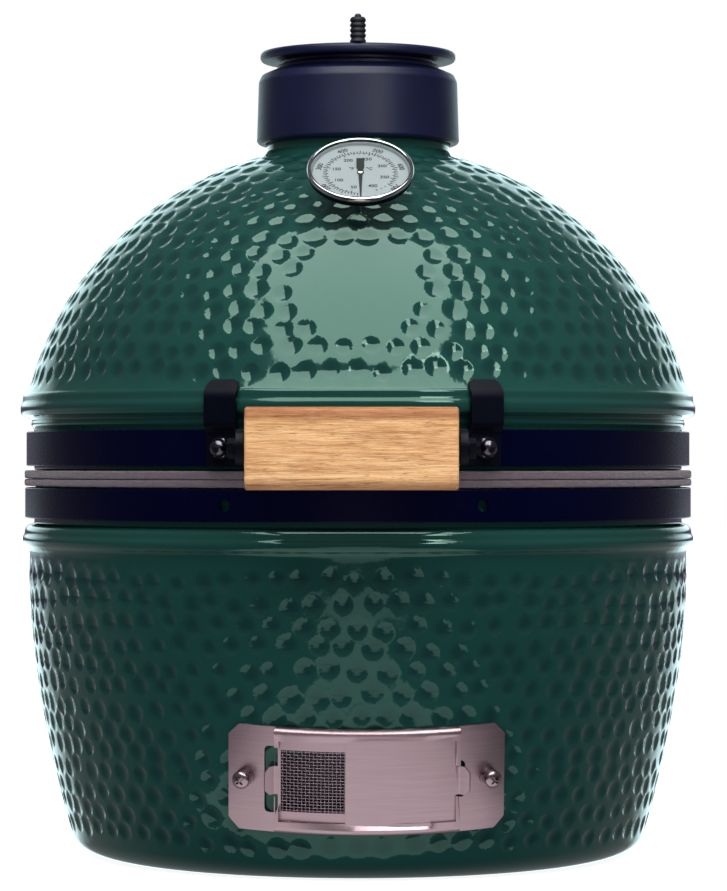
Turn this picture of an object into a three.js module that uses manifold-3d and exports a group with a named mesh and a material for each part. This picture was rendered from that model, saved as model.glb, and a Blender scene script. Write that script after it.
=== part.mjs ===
// Kamado ceramic grill: a dimpled egg-shaped cooker in two glazed shells on a rear hinge, with a cast
// chimney cap, a dial thermometer, a wooden lift handle and a sliding draft door.
// Millimetres, +Z up, the front is -Y. The origin is the centre of the flat foot.
import * as THREE from "three";
import { mergeVertices } from "three/addons/utils/BufferGeometryUtils.js";
import Module from "manifold-3d";

const wasm = await Module();
wasm.setup();

// ---------------------------------------------------------------- driving dimensions
const GAP = 0.3; // running gap between pieces that touch
const SHELL_SIDES = 36; // facets round the shells and hoops
const PART_SIDES = 24; // facets round the cap and thermometer
const BOLT_SIDES = 10; // facets round a shank
const EYE_SIDES = 14; // facets round the hinge eyes and pin
const HEX_SIDES = 6;

const BASE_RIM_Z = 218.5; // top of the base shell
const DOME_RIM_Z = 228.1; // bottom of the dome shell
const RIM_INNER_R = 172.5; // clear radius at the rims
const FLANGE_R = 200.3; // rolled flange of the base
const DOME_FLANGE_R = 201.5; // rolled flange of the dome
const RIM_R = 193.4; // ceramic under the bands
const NECK_R = 54.5; // chimney neck, outside
const FLUE_R = 40; // chimney opening
const NECK_TOP_Z = 445;
const FLOOR_Z = 24; // inside floor of the base

const BAND_THICK = 3;
const LOWER_BAND = { low: 199.8, high: 217.8, outer: 198.8 };
const UPPER_BAND = { low: 230.4, high: 250.8, outer: 198.0 };
const BAND_GAP_HALF = 38; // half the opening at the back of each band
const GASKET_OUTER_R = 199.4;
const GASKET_MID_Z = 223;

const HANDLE_YAW = -0.73; // degrees, the handle sits a touch left of centre
const BRACKET_AZIMUTH = 21; // degrees either side of the handle's centre line
const HANDLE = { half: 22, corner: 7, length: 113, reach: 245, z: 240 };
const STUD_Z = 240.6;
const STUD_R = 3;

const HINGE = { y: 224, z: 223, pinR: 4, eyeR: 9 };

const CAP_DISC = { low: 472.6, high: 478, radius: 58.5 };
const DAISY_HOLES = 5;
const DAISY_PCD_R = 26;
const DAISY_HOLE_R = 9;
const DAISY_SHUT_TURN = 36; // degrees between the wheel's holes and the disc's holes at rest
const CAP_PIVOT_Y = 49.5;
const GRIP_Y = -54;
const CAP_BORE_R = 3.3; // clearance for the cap's screws
const GRIP_BORE_R = 2.3;

const THERMOMETER = { r: 130, z: 378, elevation: 50, yaw: 0.55 };

const DOOR_YAW = 1.6; // degrees, the draft door sits a touch right of centre
const DOOR_TILT = 11.5; // degrees, it lies on the flare of the base
const DOOR_BEND_R = 187; // back of the frame's flanges
const DOOR_SEAT = { r: 182.7, z: 57.2, clearance: 0.8 };
const DOOR_HEIGHT = 60;
const DOOR_HALF_WIDTH = 78;
const CHANNEL_HALF_WIDTH = 50.5;
const CHANNEL_DEPTH = 5.4;
const SHEET = 1.2; // the frame's sheet metal
const RAIL_HEIGHT = 7;

const COLOURS = {
  glaze: [0x1c4f41, 0.15, 0],
  fireclay: [0xb59a7c, 0.9, 0],
  felt: [0x6a5c5e, 1, 0],
  blackSteel: [0x08081c, 0.35, 0.4],
  castIron: [0x1a2030, 0.6, 0.5],
  stainless: [0xb0a6a8, 0.35, 1],
  wood: [0xe2b884, 0.6, 0],
  glass: [0xe8f0f0, 0.05, 0],
  dialWhite: [0xe9eeec, 0.5, 0],
  pointerBlack: [0x101010, 0.5, 0],
  silicone: [0x17182a, 0.8, 0],
};

// ---------------------------------------------------------------- geometry helpers
const rad = THREE.MathUtils.degToRad;

function solid(geometry) {
  const bare = geometry.index ? geometry.toNonIndexed() : geometry.clone();
  for (const name of Object.keys(bare.attributes)) {
    if (name !== "position") bare.deleteAttribute(name);
  }
  const merged = mergeVertices(bare, 1e-4);
  return new wasm.Manifold(
    new wasm.Mesh({
      numProp: 3,
      vertProperties: merged.attributes.position.array,
      triVerts: new Uint32Array(merged.index.array),
    }),
  );
}

function geometryOf(made) {
  const mesh = made.getMesh();
  const geometry = new THREE.BufferGeometry();
  geometry.setAttribute("position", new THREE.BufferAttribute(mesh.vertProperties, 3));
  geometry.setIndex(new THREE.BufferAttribute(mesh.triVerts, 1));
  return geometry;
}

function cut(geometry, ...tools) {
  return geometryOf(tools.reduce((body, tool) => body.subtract(solid(tool)), solid(geometry)));
}

function join(...geometries) {
  return geometryOf(geometries.map(solid).reduce((body, other) => body.add(other)));
}

// A body of revolution about Z. The profile is [radius, z], anticlockwise.
function turned(profile, sides) {
  const points = profile.map(([r, z]) => new THREE.Vector2(r, z));
  return new THREE.LatheGeometry(points, sides).rotateX(Math.PI / 2);
}

// A closed ring of rectangular section.
function ring(inner, outer, low, high, sides) {
  return turned([[inner, low], [outer, low], [outer, high], [inner, high], [inner, low]], sides);
}

// A solid disc or cylinder about Z.
function disc(radius, low, high, sides) {
  return turned([[0, low], [radius, low], [radius, high], [0, high]], sides);
}

// A quadratic curve from one profile point to another, without its first point.
function curve(from, control, to, steps) {
  const line = new THREE.QuadraticBezierCurve(...[from, control, to].map((p) => new THREE.Vector2(...p)));
  return line.getPoints(steps).slice(1).map((p) => [p.x, p.y]);
}

function cubic(from, first, second, to, steps) {
  const line = new THREE.CubicBezierCurve(...[from, first, second, to].map((p) => new THREE.Vector2(...p)));
  return line.getPoints(steps).slice(1).map((p) => [p.x, p.y]);
}

function outline(points) {
  return new THREE.Shape(points.map(([x, y]) => new THREE.Vector2(x, y)));
}

function slab(shape, depth, curveSegments = 4) {
  return new THREE.ExtrudeGeometry(shape, { depth, bevelEnabled: false, curveSegments });
}

// A side outline in (distance to the front, height), made `width` wide across X.
function sidePlate(points, width) {
  const basis = new THREE.Matrix4().makeBasis(
    new THREE.Vector3(0, -1, 0),
    new THREE.Vector3(0, 0, 1),
    new THREE.Vector3(-1, 0, 0),
  );
  return slab(outline(points), width).translate(0, 0, -width / 2).applyMatrix4(basis);
}

function box(lowX, lowY, lowZ, highX, highY, highZ) {
  return new THREE.BoxGeometry(highX - lowX, highY - lowY, highZ - lowZ).translate(
    (lowX + highX) / 2,
    (lowY + highY) / 2,
    (lowZ + highZ) / 2,
  );
}

// A sector of a ring about Z between two angles measured from the front, positive towards +X.
function arcPlate(inner, outer, fromDegrees, toDegrees, low, high, steps) {
  const front = -Math.PI / 2;
  const shape = new THREE.Shape();
  shape.absarc(0, 0, outer, front + rad(fromDegrees), front + rad(toDegrees), false);
  shape.absarc(0, 0, inner, front + rad(toDegrees), front + rad(fromDegrees), true);
  shape.closePath();
  return slab(shape, high - low, steps).translate(0, 0, low);
}

// A cylinder along X between two places.
function rodX(radius, fromX, toX, y, z, sides) {
  return disc(radius, fromX, toX, sides).rotateY(Math.PI / 2).translate(0, y, z);
}

// A cylinder pointing to the front, between two distances from the axis.
function rodFront(radius, near, far, z, sides) {
  return disc(radius, near, far, sides).rotateX(Math.PI / 2).translate(0, 0, z);
}

function material([color, roughness, metalness]) {
  return new THREE.MeshStandardMaterial({ color, roughness, metalness });
}

function piece(parent, name, geometry, finish) {
  const mesh = new THREE.Mesh(geometry, material(finish));
  mesh.name = name;
  parent.add(mesh);
}

function groupAt(parent, { x = 0, y = 0, z = 0, tilt = 0, yaw = 0 }) {
  const group = new THREE.Group();
  group.rotation.order = "ZXY";
  group.position.set(x, y, z);
  group.rotation.x = rad(tilt);
  group.rotation.z = rad(yaw);
  parent.add(group);
  return group;
}

// ---------------------------------------------------------------- door frame of reference
// The bend axis of the draft door, tilted back so that the door follows the flare of the base.
function doorOrigin() {
  const reach = DOOR_SEAT.r + DOOR_SEAT.clearance - DOOR_BEND_R * Math.cos(rad(DOOR_TILT));
  const z = DOOR_SEAT.z + DOOR_BEND_R * Math.sin(rad(DOOR_TILT));
  return { x: reach * Math.sin(rad(DOOR_YAW)), y: -reach * Math.cos(rad(DOOR_YAW)), z };
}

function doorGroup(parent) {
  return groupAt(parent, { ...doorOrigin(), tilt: DOOR_TILT, yaw: DOOR_YAW });
}

// ---------------------------------------------------------------- ceramics
const PORT = { left: -43, right: -3, low: 38, high: 73, front: -200, back: -120 };
const PROBE = { radius: 3, tip: -88, root: 15.5, holeR: 5.5 };

function baseShell() {
  const outer = [
    [0, 0],
    [143, 0],
    ...curve([143, 0], [166, 0], [171, 12], 3),
    ...curve([171, 12], [195, 94.7], [196.4, 165], 5),
    [195.2, 175],
    [192.4, 182],
    [FLANGE_R - 1.3, 184],
    [FLANGE_R, 187.5],
    [FLANGE_R - 1.3, 191],
    [RIM_R, 193.5],
    [RIM_R, BASE_RIM_Z],
  ];
  const inner = [
    [RIM_INNER_R, BASE_RIM_Z],
    [RIM_INNER_R, 165],
    ...curve([RIM_INNER_R, 165], [171, 95], [150, 42], 3),
    ...curve([150, 42], [142, FLOOR_Z], [118, FLOOR_Z], 3),
    [0, FLOOR_Z],
  ];
  const shell = turned([...outer, ...inner], SHELL_SIDES);
  const port = box(PORT.left, PORT.front, PORT.low, PORT.right, PORT.back, PORT.high);
  return cut(shell, port, ...screwHoles());
}

function domeShell() {
  const outer = [
    [RIM_INNER_R, DOME_RIM_Z],
    [RIM_R, DOME_RIM_Z],
    [RIM_R, 252],
    [195.4, 255],
    [194.3, 258],
    [DOME_FLANGE_R - 1, 260.5],
    [DOME_FLANGE_R, 263.5],
    [DOME_FLANGE_R, 268],
    [DOME_FLANGE_R - 1.4, 270.5],
    [196.2, 275],
    ...cubic([195.4, 279], [177.5, 347.8], [119, 399], [60, 414.5], 9),
    [NECK_R + 0.5, 418],
    [NECK_R, 422],
    [NECK_R, NECK_TOP_Z],
  ];
  const inner = [
    [FLUE_R, NECK_TOP_Z],
    [FLUE_R, 400],
    ...cubic([FLUE_R, 400], [100, 382], [160, 330], [RIM_INNER_R, 262], 6),
    [RIM_INNER_R, DOME_RIM_Z],
  ];
  const shell = turned([...outer, ...inner], SHELL_SIDES);
  const probeHole = disc(PROBE.holeR, -45, 20, BOLT_SIDES)
    .rotateX(Math.PI / 2 - rad(THERMOMETER.elevation))
    .translate(0, -THERMOMETER.r, THERMOMETER.z)
    .rotateZ(rad(THERMOMETER.yaw));
  return cut(shell, probeHole);
}

const BOX_TOP_Z = 150;
const GRATE_SEAT_Z = 75;
const BOX_FOOT_Z = FLOOR_Z + 1;
const LEDGE = { inner: 78, outer: 92 }; // the step that the grate lies on
const ASH_NOTCH = { half: 48, top: 72, front: -160, back: -60 };
const AIR_HOLES = { radius: 7, z: 50, turns: [60, 120, 180, 240, 300] };

function fireBox() {
  const bowl = turned(
    [
      [LEDGE.inner, BOX_FOOT_Z],
      [108, BOX_FOOT_Z],
      ...curve([108, BOX_FOOT_Z], [140, 40], [148, BOX_TOP_Z], 3),
      [134, BOX_TOP_Z],
      ...curve([134, BOX_TOP_Z], [128, 100], [LEDGE.outer, GRATE_SEAT_Z + 8], 3),
      [LEDGE.outer, GRATE_SEAT_Z],
      [LEDGE.inner, GRATE_SEAT_Z],
      [LEDGE.inner, BOX_FOOT_Z],
    ],
    SHELL_SIDES,
  );
  const { half, top, front, back } = ASH_NOTCH;
  const notch = box(-half, front, FLOOR_Z - 4, half, back, top);
  const airHoles = AIR_HOLES.turns.map((angle) =>
    rodFront(AIR_HOLES.radius, 60, 170, AIR_HOLES.z, 8).rotateZ(rad(angle)),
  );
  return cut(bowl, notch, ...airHoles);
}

function fireRing() {
  const low = BOX_TOP_Z + GAP;
  return turned(
    [[136, low], [150, low], [158, 166], [158, 204], [138, 204], [138, 166], [136, low]],
    SHELL_SIDES,
  );
}

const GRATE = { radius: 89, top: GRATE_SEAT_Z + 7, holeR: 7, innerCircleR: 28, outerCircleR: 62 };

function fireGrate() {
  const plate = disc(GRATE.radius, GRATE_SEAT_Z + GAP, GRATE.top, PART_SIDES);
  const hole = (distance, angle) =>
    disc(GRATE.holeR, GRATE_SEAT_Z - 2, GRATE.top + 2, 8)
      .translate(distance, 0, 0)
      .rotateZ(rad(angle));
  const inner = Array.from({ length: 5 }, (_, i) => hole(GRATE.innerCircleR, i * 72));
  const outer = Array.from({ length: 10 }, (_, i) => hole(GRATE.outerCircleR, i * 36 + 18));
  return cut(plate, hole(0, 0), ...inner, ...outer);
}

const GRID = { radius: 163, z: 204.4, wire: 5, bars: 13, barHalf: 2 };
const CROSS_BAR = { y: 62, half: 148 };

function cookingGrid() {
  const rim = ring(GRID.radius - GRID.wire, GRID.radius, GRID.z, GRID.z + GRID.wire, PART_SIDES);
  const pitch = (2 * GRID.radius) / (GRID.bars + 1);
  const bars = [];
  for (let i = 0; i < GRID.bars; i++) {
    const x = (i - (GRID.bars - 1) / 2) * pitch;
    const half = Math.sqrt(GRID.radius ** 2 - x ** 2) - GRID.wire / 2;
    bars.push(box(x - GRID.barHalf, -half, GRID.z + 0.5, x + GRID.barHalf, half, GRID.z + 4.5));
  }
  const cross = [-CROSS_BAR.y, CROSS_BAR.y].map((y) => {
    const [low, high] = [GRID.z + 0.2, GRID.z + 3.5];
    return box(-CROSS_BAR.half, y - GRID.barHalf, low, CROSS_BAR.half, y + GRID.barHalf, high);
  });
  return join(rim, ...bars, ...cross);
}

function addCeramics(parent) {
  piece(parent, "base_shell", baseShell(), COLOURS.glaze);
  piece(parent, "dome_shell", domeShell(), COLOURS.glaze);
  piece(parent, "fire_box", fireBox(), COLOURS.fireclay);
  piece(parent, "fire_ring", fireRing(), COLOURS.fireclay);
  piece(parent, "fire_grate", fireGrate(), COLOURS.castIron);
  piece(parent, "cooking_grid", cookingGrid(), COLOURS.stainless);
  const lowGasket = ring(RIM_INNER_R + 2, GASKET_OUTER_R, BASE_RIM_Z + GAP, GASKET_MID_Z - 0.2, SHELL_SIDES);
  const topGasket = ring(RIM_INNER_R + 2, GASKET_OUTER_R, GASKET_MID_Z + 0.2, DOME_RIM_Z - GAP, SHELL_SIDES);
  piece(parent, "base_gasket", lowGasket, COLOURS.felt);
  piece(parent, "dome_gasket", topGasket, COLOURS.felt);
}

// ---------------------------------------------------------------- bands
const EAR_REACH = 213;
const CLAMP_Y = 206;
const CLAMP_R = 2.5;
const CLAMP_BORE_R = CLAMP_R + 0.4;
const CLAMP_HEAD = { radius: 4.2, from: 26.8, to: 29.7 };
const CLAMP_END = 47.5;
const CLAMP_NUT = { radius: 4.6, thick: 4 };

function band({ low, high, outer }) {
  const hoop = ring(outer - BAND_THICK, outer, low, high, SHELL_SIDES);
  const opening = box(-BAND_GAP_HALF, 150, low - 1, BAND_GAP_HALF, 230, high + 1);
  const stage = [cut(hoop, opening)];
  for (const side of [-1, 1]) {
    const near = side * BAND_GAP_HALF;
    const far = side * (BAND_GAP_HALF + BAND_THICK);
    stage.push(box(Math.min(near, far), outer - 7, low, Math.max(near, far), EAR_REACH, high));
  }
  const middle = (low + high) / 2;
  const boltHole = rodX(CLAMP_BORE_R, -50, 50, CLAMP_Y, middle, BOLT_SIDES);
  const holeZ = low === UPPER_BAND.low ? STUD_Z : middle;
  const frontHoles = [-1, 1].map((side) => {
    const azimuth = HANDLE_YAW + side * BRACKET_AZIMUTH;
    return rodFront(STUD_R + 0.5, outer - 9, outer + 5, holeZ, BOLT_SIDES).rotateZ(rad(azimuth));
  });
  return cut(join(...stage), boltHole, ...frontHoles);
}

function clampBolt(side, z) {
  const shank = rodX(CLAMP_R, CLAMP_HEAD.from + 1.2, CLAMP_END, CLAMP_Y, z, BOLT_SIDES);
  const head = rodX(CLAMP_HEAD.radius, CLAMP_HEAD.from, CLAMP_HEAD.to, CLAMP_Y, z, BOLT_SIDES);
  const bolt = join(shank, head);
  return side > 0 ? bolt : bolt.rotateZ(Math.PI).translate(0, 2 * CLAMP_Y, 0);
}

function clampNut(side, z) {
  const start = BAND_GAP_HALF + BAND_THICK + GAP;
  const nut = cut(
    rodX(CLAMP_NUT.radius, start, start + CLAMP_NUT.thick, CLAMP_Y, z, HEX_SIDES),
    rodX(CLAMP_R + 0.3, start - 1, start + CLAMP_NUT.thick + 1, CLAMP_Y, z, BOLT_SIDES),
  );
  return side > 0 ? nut : nut.rotateZ(Math.PI).translate(0, 2 * CLAMP_Y, 0);
}

function addBands(parent) {
  for (const [name, size] of [["upper", UPPER_BAND], ["lower", LOWER_BAND]]) {
    piece(parent, name + "_band", band(size), COLOURS.blackSteel);
    const middle = (size.low + size.high) / 2;
    for (const [hand, side] of [["left", -1], ["right", 1]]) {
      piece(parent, `${name}_clamp_bolt_${hand}`, clampBolt(side, middle), COLOURS.stainless);
      piece(parent, `${name}_clamp_nut_${hand}`, clampNut(side, middle), COLOURS.stainless);
    }
  }
}

// ---------------------------------------------------------------- hinge
const SADDLE_HALF = 33;
const EYE_HALF = 2.5;
const UPPER_LUG = { near: 4, far: 9 };
const LOWER_LUG = { near: 15.5, far: 20.5 };

// The plate that closes a band's opening, with an ear for each clamp bolt and two lugs to the pin.
function hingeBracket({ low, high, outer }, lug, lugOutline) {
  const half = THREE.MathUtils.radToDeg(Math.asin(SADDLE_HALF / outer));
  const plate = arcPlate(outer - BAND_THICK, outer, 180 - half, 180 + half, low, high, 8);
  const pieces = [plate];
  for (const side of [-1, 1]) {
    const ear = [side * (SADDLE_HALF - BAND_THICK), side * SADDLE_HALF].sort((a, b) => a - b);
    pieces.push(box(ear[0], outer - 6, low, ear[1], EAR_REACH, high));
    const centre = (side * (lug.near + lug.far)) / 2;
    pieces.push(sidePlate(lugOutline, lug.far - lug.near).rotateZ(Math.PI).translate(centre, 0, 0));
    pieces.push(rodX(HINGE.eyeR, centre - EYE_HALF, centre + EYE_HALF, HINGE.y, HINGE.z, EYE_SIDES));
  }
  const middle = (low + high) / 2;
  const pinHole = rodX(HINGE.pinR + 0.1, -40, 40, HINGE.y, HINGE.z, EYE_SIDES);
  const boltHoles = [-1, 1].map((side) =>
    rodX(CLAMP_BORE_R, side * 32 - 6, side * 32 + 6, CLAMP_Y, middle, BOLT_SIDES),
  );
  return cut(join(...pieces), pinHole, ...boltHoles);
}

function upperLug() {
  const { y, z, eyeR } = HINGE;
  return [[UPPER_BAND.outer - 2, UPPER_BAND.low], [y - eyeR + 1.5, z - 1], [y, z - 3], [y + 5, z + 7.4],
    [y - 3, z + 10], [UPPER_BAND.outer - 2, UPPER_BAND.high]];
}

function lowerLug() {
  const { y, z, eyeR } = HINGE;
  return [[LOWER_BAND.outer - 2, LOWER_BAND.low], [y - 3, z - 10], [y + 5, z - 7.4], [y, z + 3],
    [y - eyeR + 1, z + 1], [LOWER_BAND.outer - 2, LOWER_BAND.high]];
}

const SPRING = { turns: 4, coilR: 6.4, wireR: 0.6, start: 10.3, length: 3.9, stepsPerTurn: 8 };

function torsionSpring(side) {
  const { turns, coilR, wireR, start, length, stepsPerTurn } = SPRING;
  const steps = turns * stepsPerTurn;
  const points = [];
  for (let i = 0; i <= steps; i++) {
    const angle = (i / stepsPerTurn) * 2 * Math.PI;
    const x = side * (start + (length * i) / steps);
    const y = HINGE.y + coilR * Math.cos(angle);
    const z = HINGE.z + coilR * Math.sin(angle);
    points.push(new THREE.Vector3(x, y, z));
  }
  const wire = new THREE.Shape().absarc(0, 0, wireR, 0, 2 * Math.PI, false);
  const path = new THREE.CatmullRomCurve3(points);
  return new THREE.ExtrudeGeometry(wire, {
    steps,
    curveSegments: 2,
    bevelEnabled: false,
    extrudePath: path,
  });
}

const PIN = { headFrom: -24, headTo: -20.8, from: -22, to: 27, headR: 6.4 };
const PIN_NUT = { radius: 6.6, from: 20.8, to: 25 };

function addHinge(parent) {
  const upper = hingeBracket(UPPER_BAND, UPPER_LUG, upperLug());
  const lower = hingeBracket(LOWER_BAND, LOWER_LUG, lowerLug());
  piece(parent, "hinge_upper_bracket", upper, COLOURS.blackSteel);
  piece(parent, "hinge_lower_bracket", lower, COLOURS.blackSteel);
  const pin = join(
    rodX(HINGE.pinR, PIN.from, PIN.to, HINGE.y, HINGE.z, EYE_SIDES),
    rodX(PIN.headR, PIN.headFrom, PIN.headTo, HINGE.y, HINGE.z, EYE_SIDES),
  );
  piece(parent, "hinge_pin", pin, COLOURS.stainless);
  const nut = cut(
    rodX(PIN_NUT.radius, PIN_NUT.from, PIN_NUT.to, HINGE.y, HINGE.z, HEX_SIDES),
    rodX(HINGE.pinR + 0.3, 20, 40, HINGE.y, HINGE.z, EYE_SIDES),
  );
  piece(parent, "hinge_pin_nut", nut, COLOURS.stainless);
  piece(parent, "hinge_spring_left", torsionSpring(-1), COLOURS.stainless);
  piece(parent, "hinge_spring_right", torsionSpring(1), COLOURS.stainless);
}

// ---------------------------------------------------------------- lift handle
const BRACKET_WIDTH = 19;
const ARM = { inner: 57.3, outer: 61.8, low: 231, high: 250.4, back: -188 };
const STRAP_THICK = 3;
const HANDLE_BOLT = { radius: 3, boreR: 3.4, inner: 30, headR: 5.6, headThick: 4 };

// Foot on the band, a jog out round the flange, and a top that leans back onto the dome.
function bracketSide() {
  const foot = UPPER_BAND.outer + GAP;
  const face = foot + STRAP_THICK;
  return [[foot, 230.8], [face, 230.8], [face, 249.8], [205.3, 252.2], [205.3, 270.6],
    [199, 278.4], [196.5, 278.4], [196.5, 276.8], [202.3, 269.4], [202.3, 253.8], [foot, 251.4]];
}

function handleBracket(side) {
  const strap = sidePlate(bracketSide(), BRACKET_WIDTH).rotateZ(rad(side * BRACKET_AZIMUTH));
  const foot = UPPER_BAND.outer + GAP;
  const face = foot + STRAP_THICK;
  const footOutline = [[foot, ARM.low], [face, ARM.low], [face, 249.8], [foot, 249.8]];
  const inwards = sidePlate(footOutline, 8).translate(-side * 12, 0, 0).rotateZ(rad(side * BRACKET_AZIMUTH));
  const armX = [side * ARM.inner, side * ARM.outer].sort((a, b) => a - b);
  const arm = box(armX[0], -HANDLE.reach, ARM.low, armX[1], ARM.back, ARM.high);
  const tip = rodX((ARM.high - ARM.low) / 2, armX[0], armX[1], -HANDLE.reach, (ARM.low + ARM.high) / 2, 16);
  const insideBand = disc(UPPER_BAND.outer + GAP, 220, 260, 2 * SHELL_SIDES);
  const stud = rodFront(STUD_R + 0.4, 190, 215, STUD_Z, BOLT_SIDES).rotateZ(rad(side * BRACKET_AZIMUTH));
  const bolt = rodX(HANDLE_BOLT.boreR, armX[0] - 2, armX[1] + 2, -HANDLE.reach, HANDLE.z, BOLT_SIDES);
  return cut(join(strap, inwards, arm, tip), insideBand, stud, bolt);
}

function handleGrip() {
  const { half, corner, length, reach, z } = HANDLE;
  const centre = half - corner;
  const section = new THREE.Shape();
  [[1, 1], [-1, 1], [-1, -1], [1, -1]].forEach(([x, y], quarter) => {
    const start = (quarter * Math.PI) / 2;
    section.absarc(x * centre, y * centre, corner, start, start + Math.PI / 2, false);
  });
  const bar = slab(section, length).translate(0, 0, -length / 2);
  const holes = [-1, 1].map((side) => {
    const [low, high] = [side * (HANDLE_BOLT.inner - 2), side * 60].sort((a, b) => a - b);
    return disc(HANDLE_BOLT.boreR, low, high, BOLT_SIDES);
  });
  return cut(bar, ...holes).rotateY(Math.PI / 2).translate(0, -reach, z);
}

function handleBolt(side) {
  const { radius, inner, headR, headThick } = HANDLE_BOLT;
  const span = (near, far) => [side * near, side * far].sort((a, b) => a - b);
  const seat = ARM.outer + GAP;
  const shank = rodX(radius, ...span(inner, ARM.outer + 2), -HANDLE.reach, HANDLE.z, BOLT_SIDES);
  const head = rodX(headR, ...span(seat, seat + headThick), -HANDLE.reach, HANDLE.z, HEX_SIDES);
  return join(shank, head);
}

function acornNut(side) {
  const seat = UPPER_BAND.outer + STRAP_THICK + 2 * GAP;
  const hexagon = disc(6, seat, seat + 4, HEX_SIDES);
  const crown = turned(
    [[0, seat + 3], [4.9, seat + 3], [4.9, seat + 5.2], [4.2, seat + 7.2], [2.4, seat + 8.6], [0, seat + 9]],
    BOLT_SIDES,
  );
  const bore = disc(STUD_R + 0.3, seat - 1, seat + 6.5, BOLT_SIDES);
  return cut(join(hexagon, crown), bore)
    .rotateX(Math.PI / 2)
    .translate(0, 0, STUD_Z)
    .rotateZ(rad(side * BRACKET_AZIMUTH));
}

function handleStud(side) {
  const inside = UPPER_BAND.outer - BAND_THICK;
  const shank = rodFront(STUD_R, inside - 1, inside + 12, STUD_Z, BOLT_SIDES);
  const head = rodFront(6, inside - 1.5, inside - 0.9, STUD_Z, BOLT_SIDES);
  return join(shank, head).rotateZ(rad(side * BRACKET_AZIMUTH));
}

function addHandle(parent) {
  const group = groupAt(parent, { yaw: HANDLE_YAW });
  piece(group, "handle_grip", handleGrip(), COLOURS.wood);
  for (const [hand, side] of [["left", -1], ["right", 1]]) {
    piece(group, "handle_bracket_" + hand, handleBracket(side), COLOURS.blackSteel);
    piece(group, "handle_bolt_" + hand, handleBolt(side), COLOURS.stainless);
    piece(group, "acorn_nut_" + hand, acornNut(side), COLOURS.stainless);
    piece(group, "handle_stud_" + hand, handleStud(side), COLOURS.stainless);
  }
}

// ---------------------------------------------------------------- chimney cap
function capCollar() {
  const top = 470.2;
  const seat = NECK_TOP_Z + 0.5;
  const body = turned(
    [[NECK_R + 0.9, 423], [59.2, 423], [60.6, 424.6], [59.5, 460], [57.6, 464.2], [51, 467], [48.4, 467.4],
      [48.4, top], [FLUE_R, top], [FLUE_R, seat], [NECK_R + 0.9, seat], [NECK_R + 0.9, 423]],
    PART_SIDES,
  );
  const pivotHole = disc(CAP_BORE_R, 455, top + 2, BOLT_SIDES).translate(0, CAP_PIVOT_Y, 0);
  const pivotBoss = disc(7, 458, top, BOLT_SIDES).translate(0, CAP_PIVOT_Y, 0);
  return cut(join(body, pivotBoss), pivotHole);
}

function daisyHoles(turn, low, high) {
  return Array.from({ length: DAISY_HOLES }, (_, i) =>
    disc(DAISY_HOLE_R, low, high, BOLT_SIDES)
      .translate(0, DAISY_PCD_R, 0)
      .rotateZ(rad((i * 360) / DAISY_HOLES + turn)),
  );
}

function capDisc() {
  const { low, high, radius } = CAP_DISC;
  const plate = turned(
    [[0, low + 2], [41.2, low + 2], [41.2, low - 2], [45, low - 2], [45, low], [radius - 2, low],
      [radius, low + 2], [radius, high - 2], [radius - 2, high], [0, high]],
    PART_SIDES,
  );
  const pivotHole = disc(CAP_BORE_R, low - 4, high + 2, BOLT_SIDES).translate(0, CAP_PIVOT_Y, 0);
  const screwHole = disc(CAP_BORE_R, low - 4, high + 2, BOLT_SIDES);
  const tabHole = disc(GRIP_BORE_R, low - 4, high + 2, BOLT_SIDES).translate(0, GRIP_Y, 0);
  return cut(plate, pivotHole, screwHole, tabHole, ...daisyHoles(0, low - 4, high + 2));
}

function daisyWheel() {
  const { low } = CAP_DISC;
  const wheel = disc(40.6, low - 1.6, low + 1.6, PART_SIDES);
  const screwHole = disc(CAP_BORE_R, low - 4, low + 4, BOLT_SIDES);
  const nutPocket = disc(6.5, low - 4, low + 0.2, BOLT_SIDES);
  return cut(wheel, screwHole, nutPocket, ...daisyHoles(DAISY_SHUT_TURN, low - 4, low + 4));
}

function addCap(parent) {
  const { low, high } = CAP_DISC;
  piece(parent, "cap_collar", capCollar(), COLOURS.castIron);
  piece(parent, "cap_disc", capDisc(), COLOURS.castIron);
  piece(parent, "daisy_wheel", daisyWheel(), COLOURS.castIron);
  const shank = disc(3, low - 1.4, high + 1, BOLT_SIDES);
  const head = disc(6, high + GAP, high + 2.4, BOLT_SIDES);
  const nut = disc(6, low - 1.5, low - 0.1, HEX_SIDES);
  const screw = join(shank, head, nut);
  piece(parent, "cap_centre_screw", screw, COLOURS.stainless);
  const pivot = join(disc(3, 456, high + 1, BOLT_SIDES), disc(5.5, high + GAP, high + 4, HEX_SIDES));
  piece(parent, "cap_pivot_bolt", pivot.translate(0, CAP_PIVOT_Y, 0), COLOURS.stainless);
  const post = disc(2, low + 0.5, 495, BOLT_SIDES);
  piece(parent, "cap_grip_post", post.translate(0, GRIP_Y, 0), COLOURS.castIron);
  const ribs = [];
  for (let i = 0; i < 4; i++) {
    const z = high + 4.2 + i * 3;
    ribs.push([4.1, z - 1.3], [4.7, z], [4.1, z + 1.3]);
  }
  const foot = [[GRIP_BORE_R, high + GAP], [4.8, high + GAP], [4.2, high + 2]];
  const grip = turned([...foot, ...ribs, [3, 493.2], [GRIP_BORE_R, 493.2], foot[0]], BOLT_SIDES);
  piece(parent, "cap_grip", grip.translate(0, GRIP_Y, 0), COLOURS.silicone);
}

// ---------------------------------------------------------------- thermometer, along its own +Z
const DIAL_Z = 20;
const DIAL_R = 28;
const LENS_R = 28;

function thermometerCase() {
  const cup = turned(
    [[0, 9], [8, 9], [8, 11], [24, 11.5], [29, 14], [29, 22.6], [28.3, 22.6], [28.3, 13.4], [0, 13.4]],
    PART_SIDES,
  );
  return cut(cup, disc(PROBE.radius + GAP, 8, 15, BOLT_SIDES));
}

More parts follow.
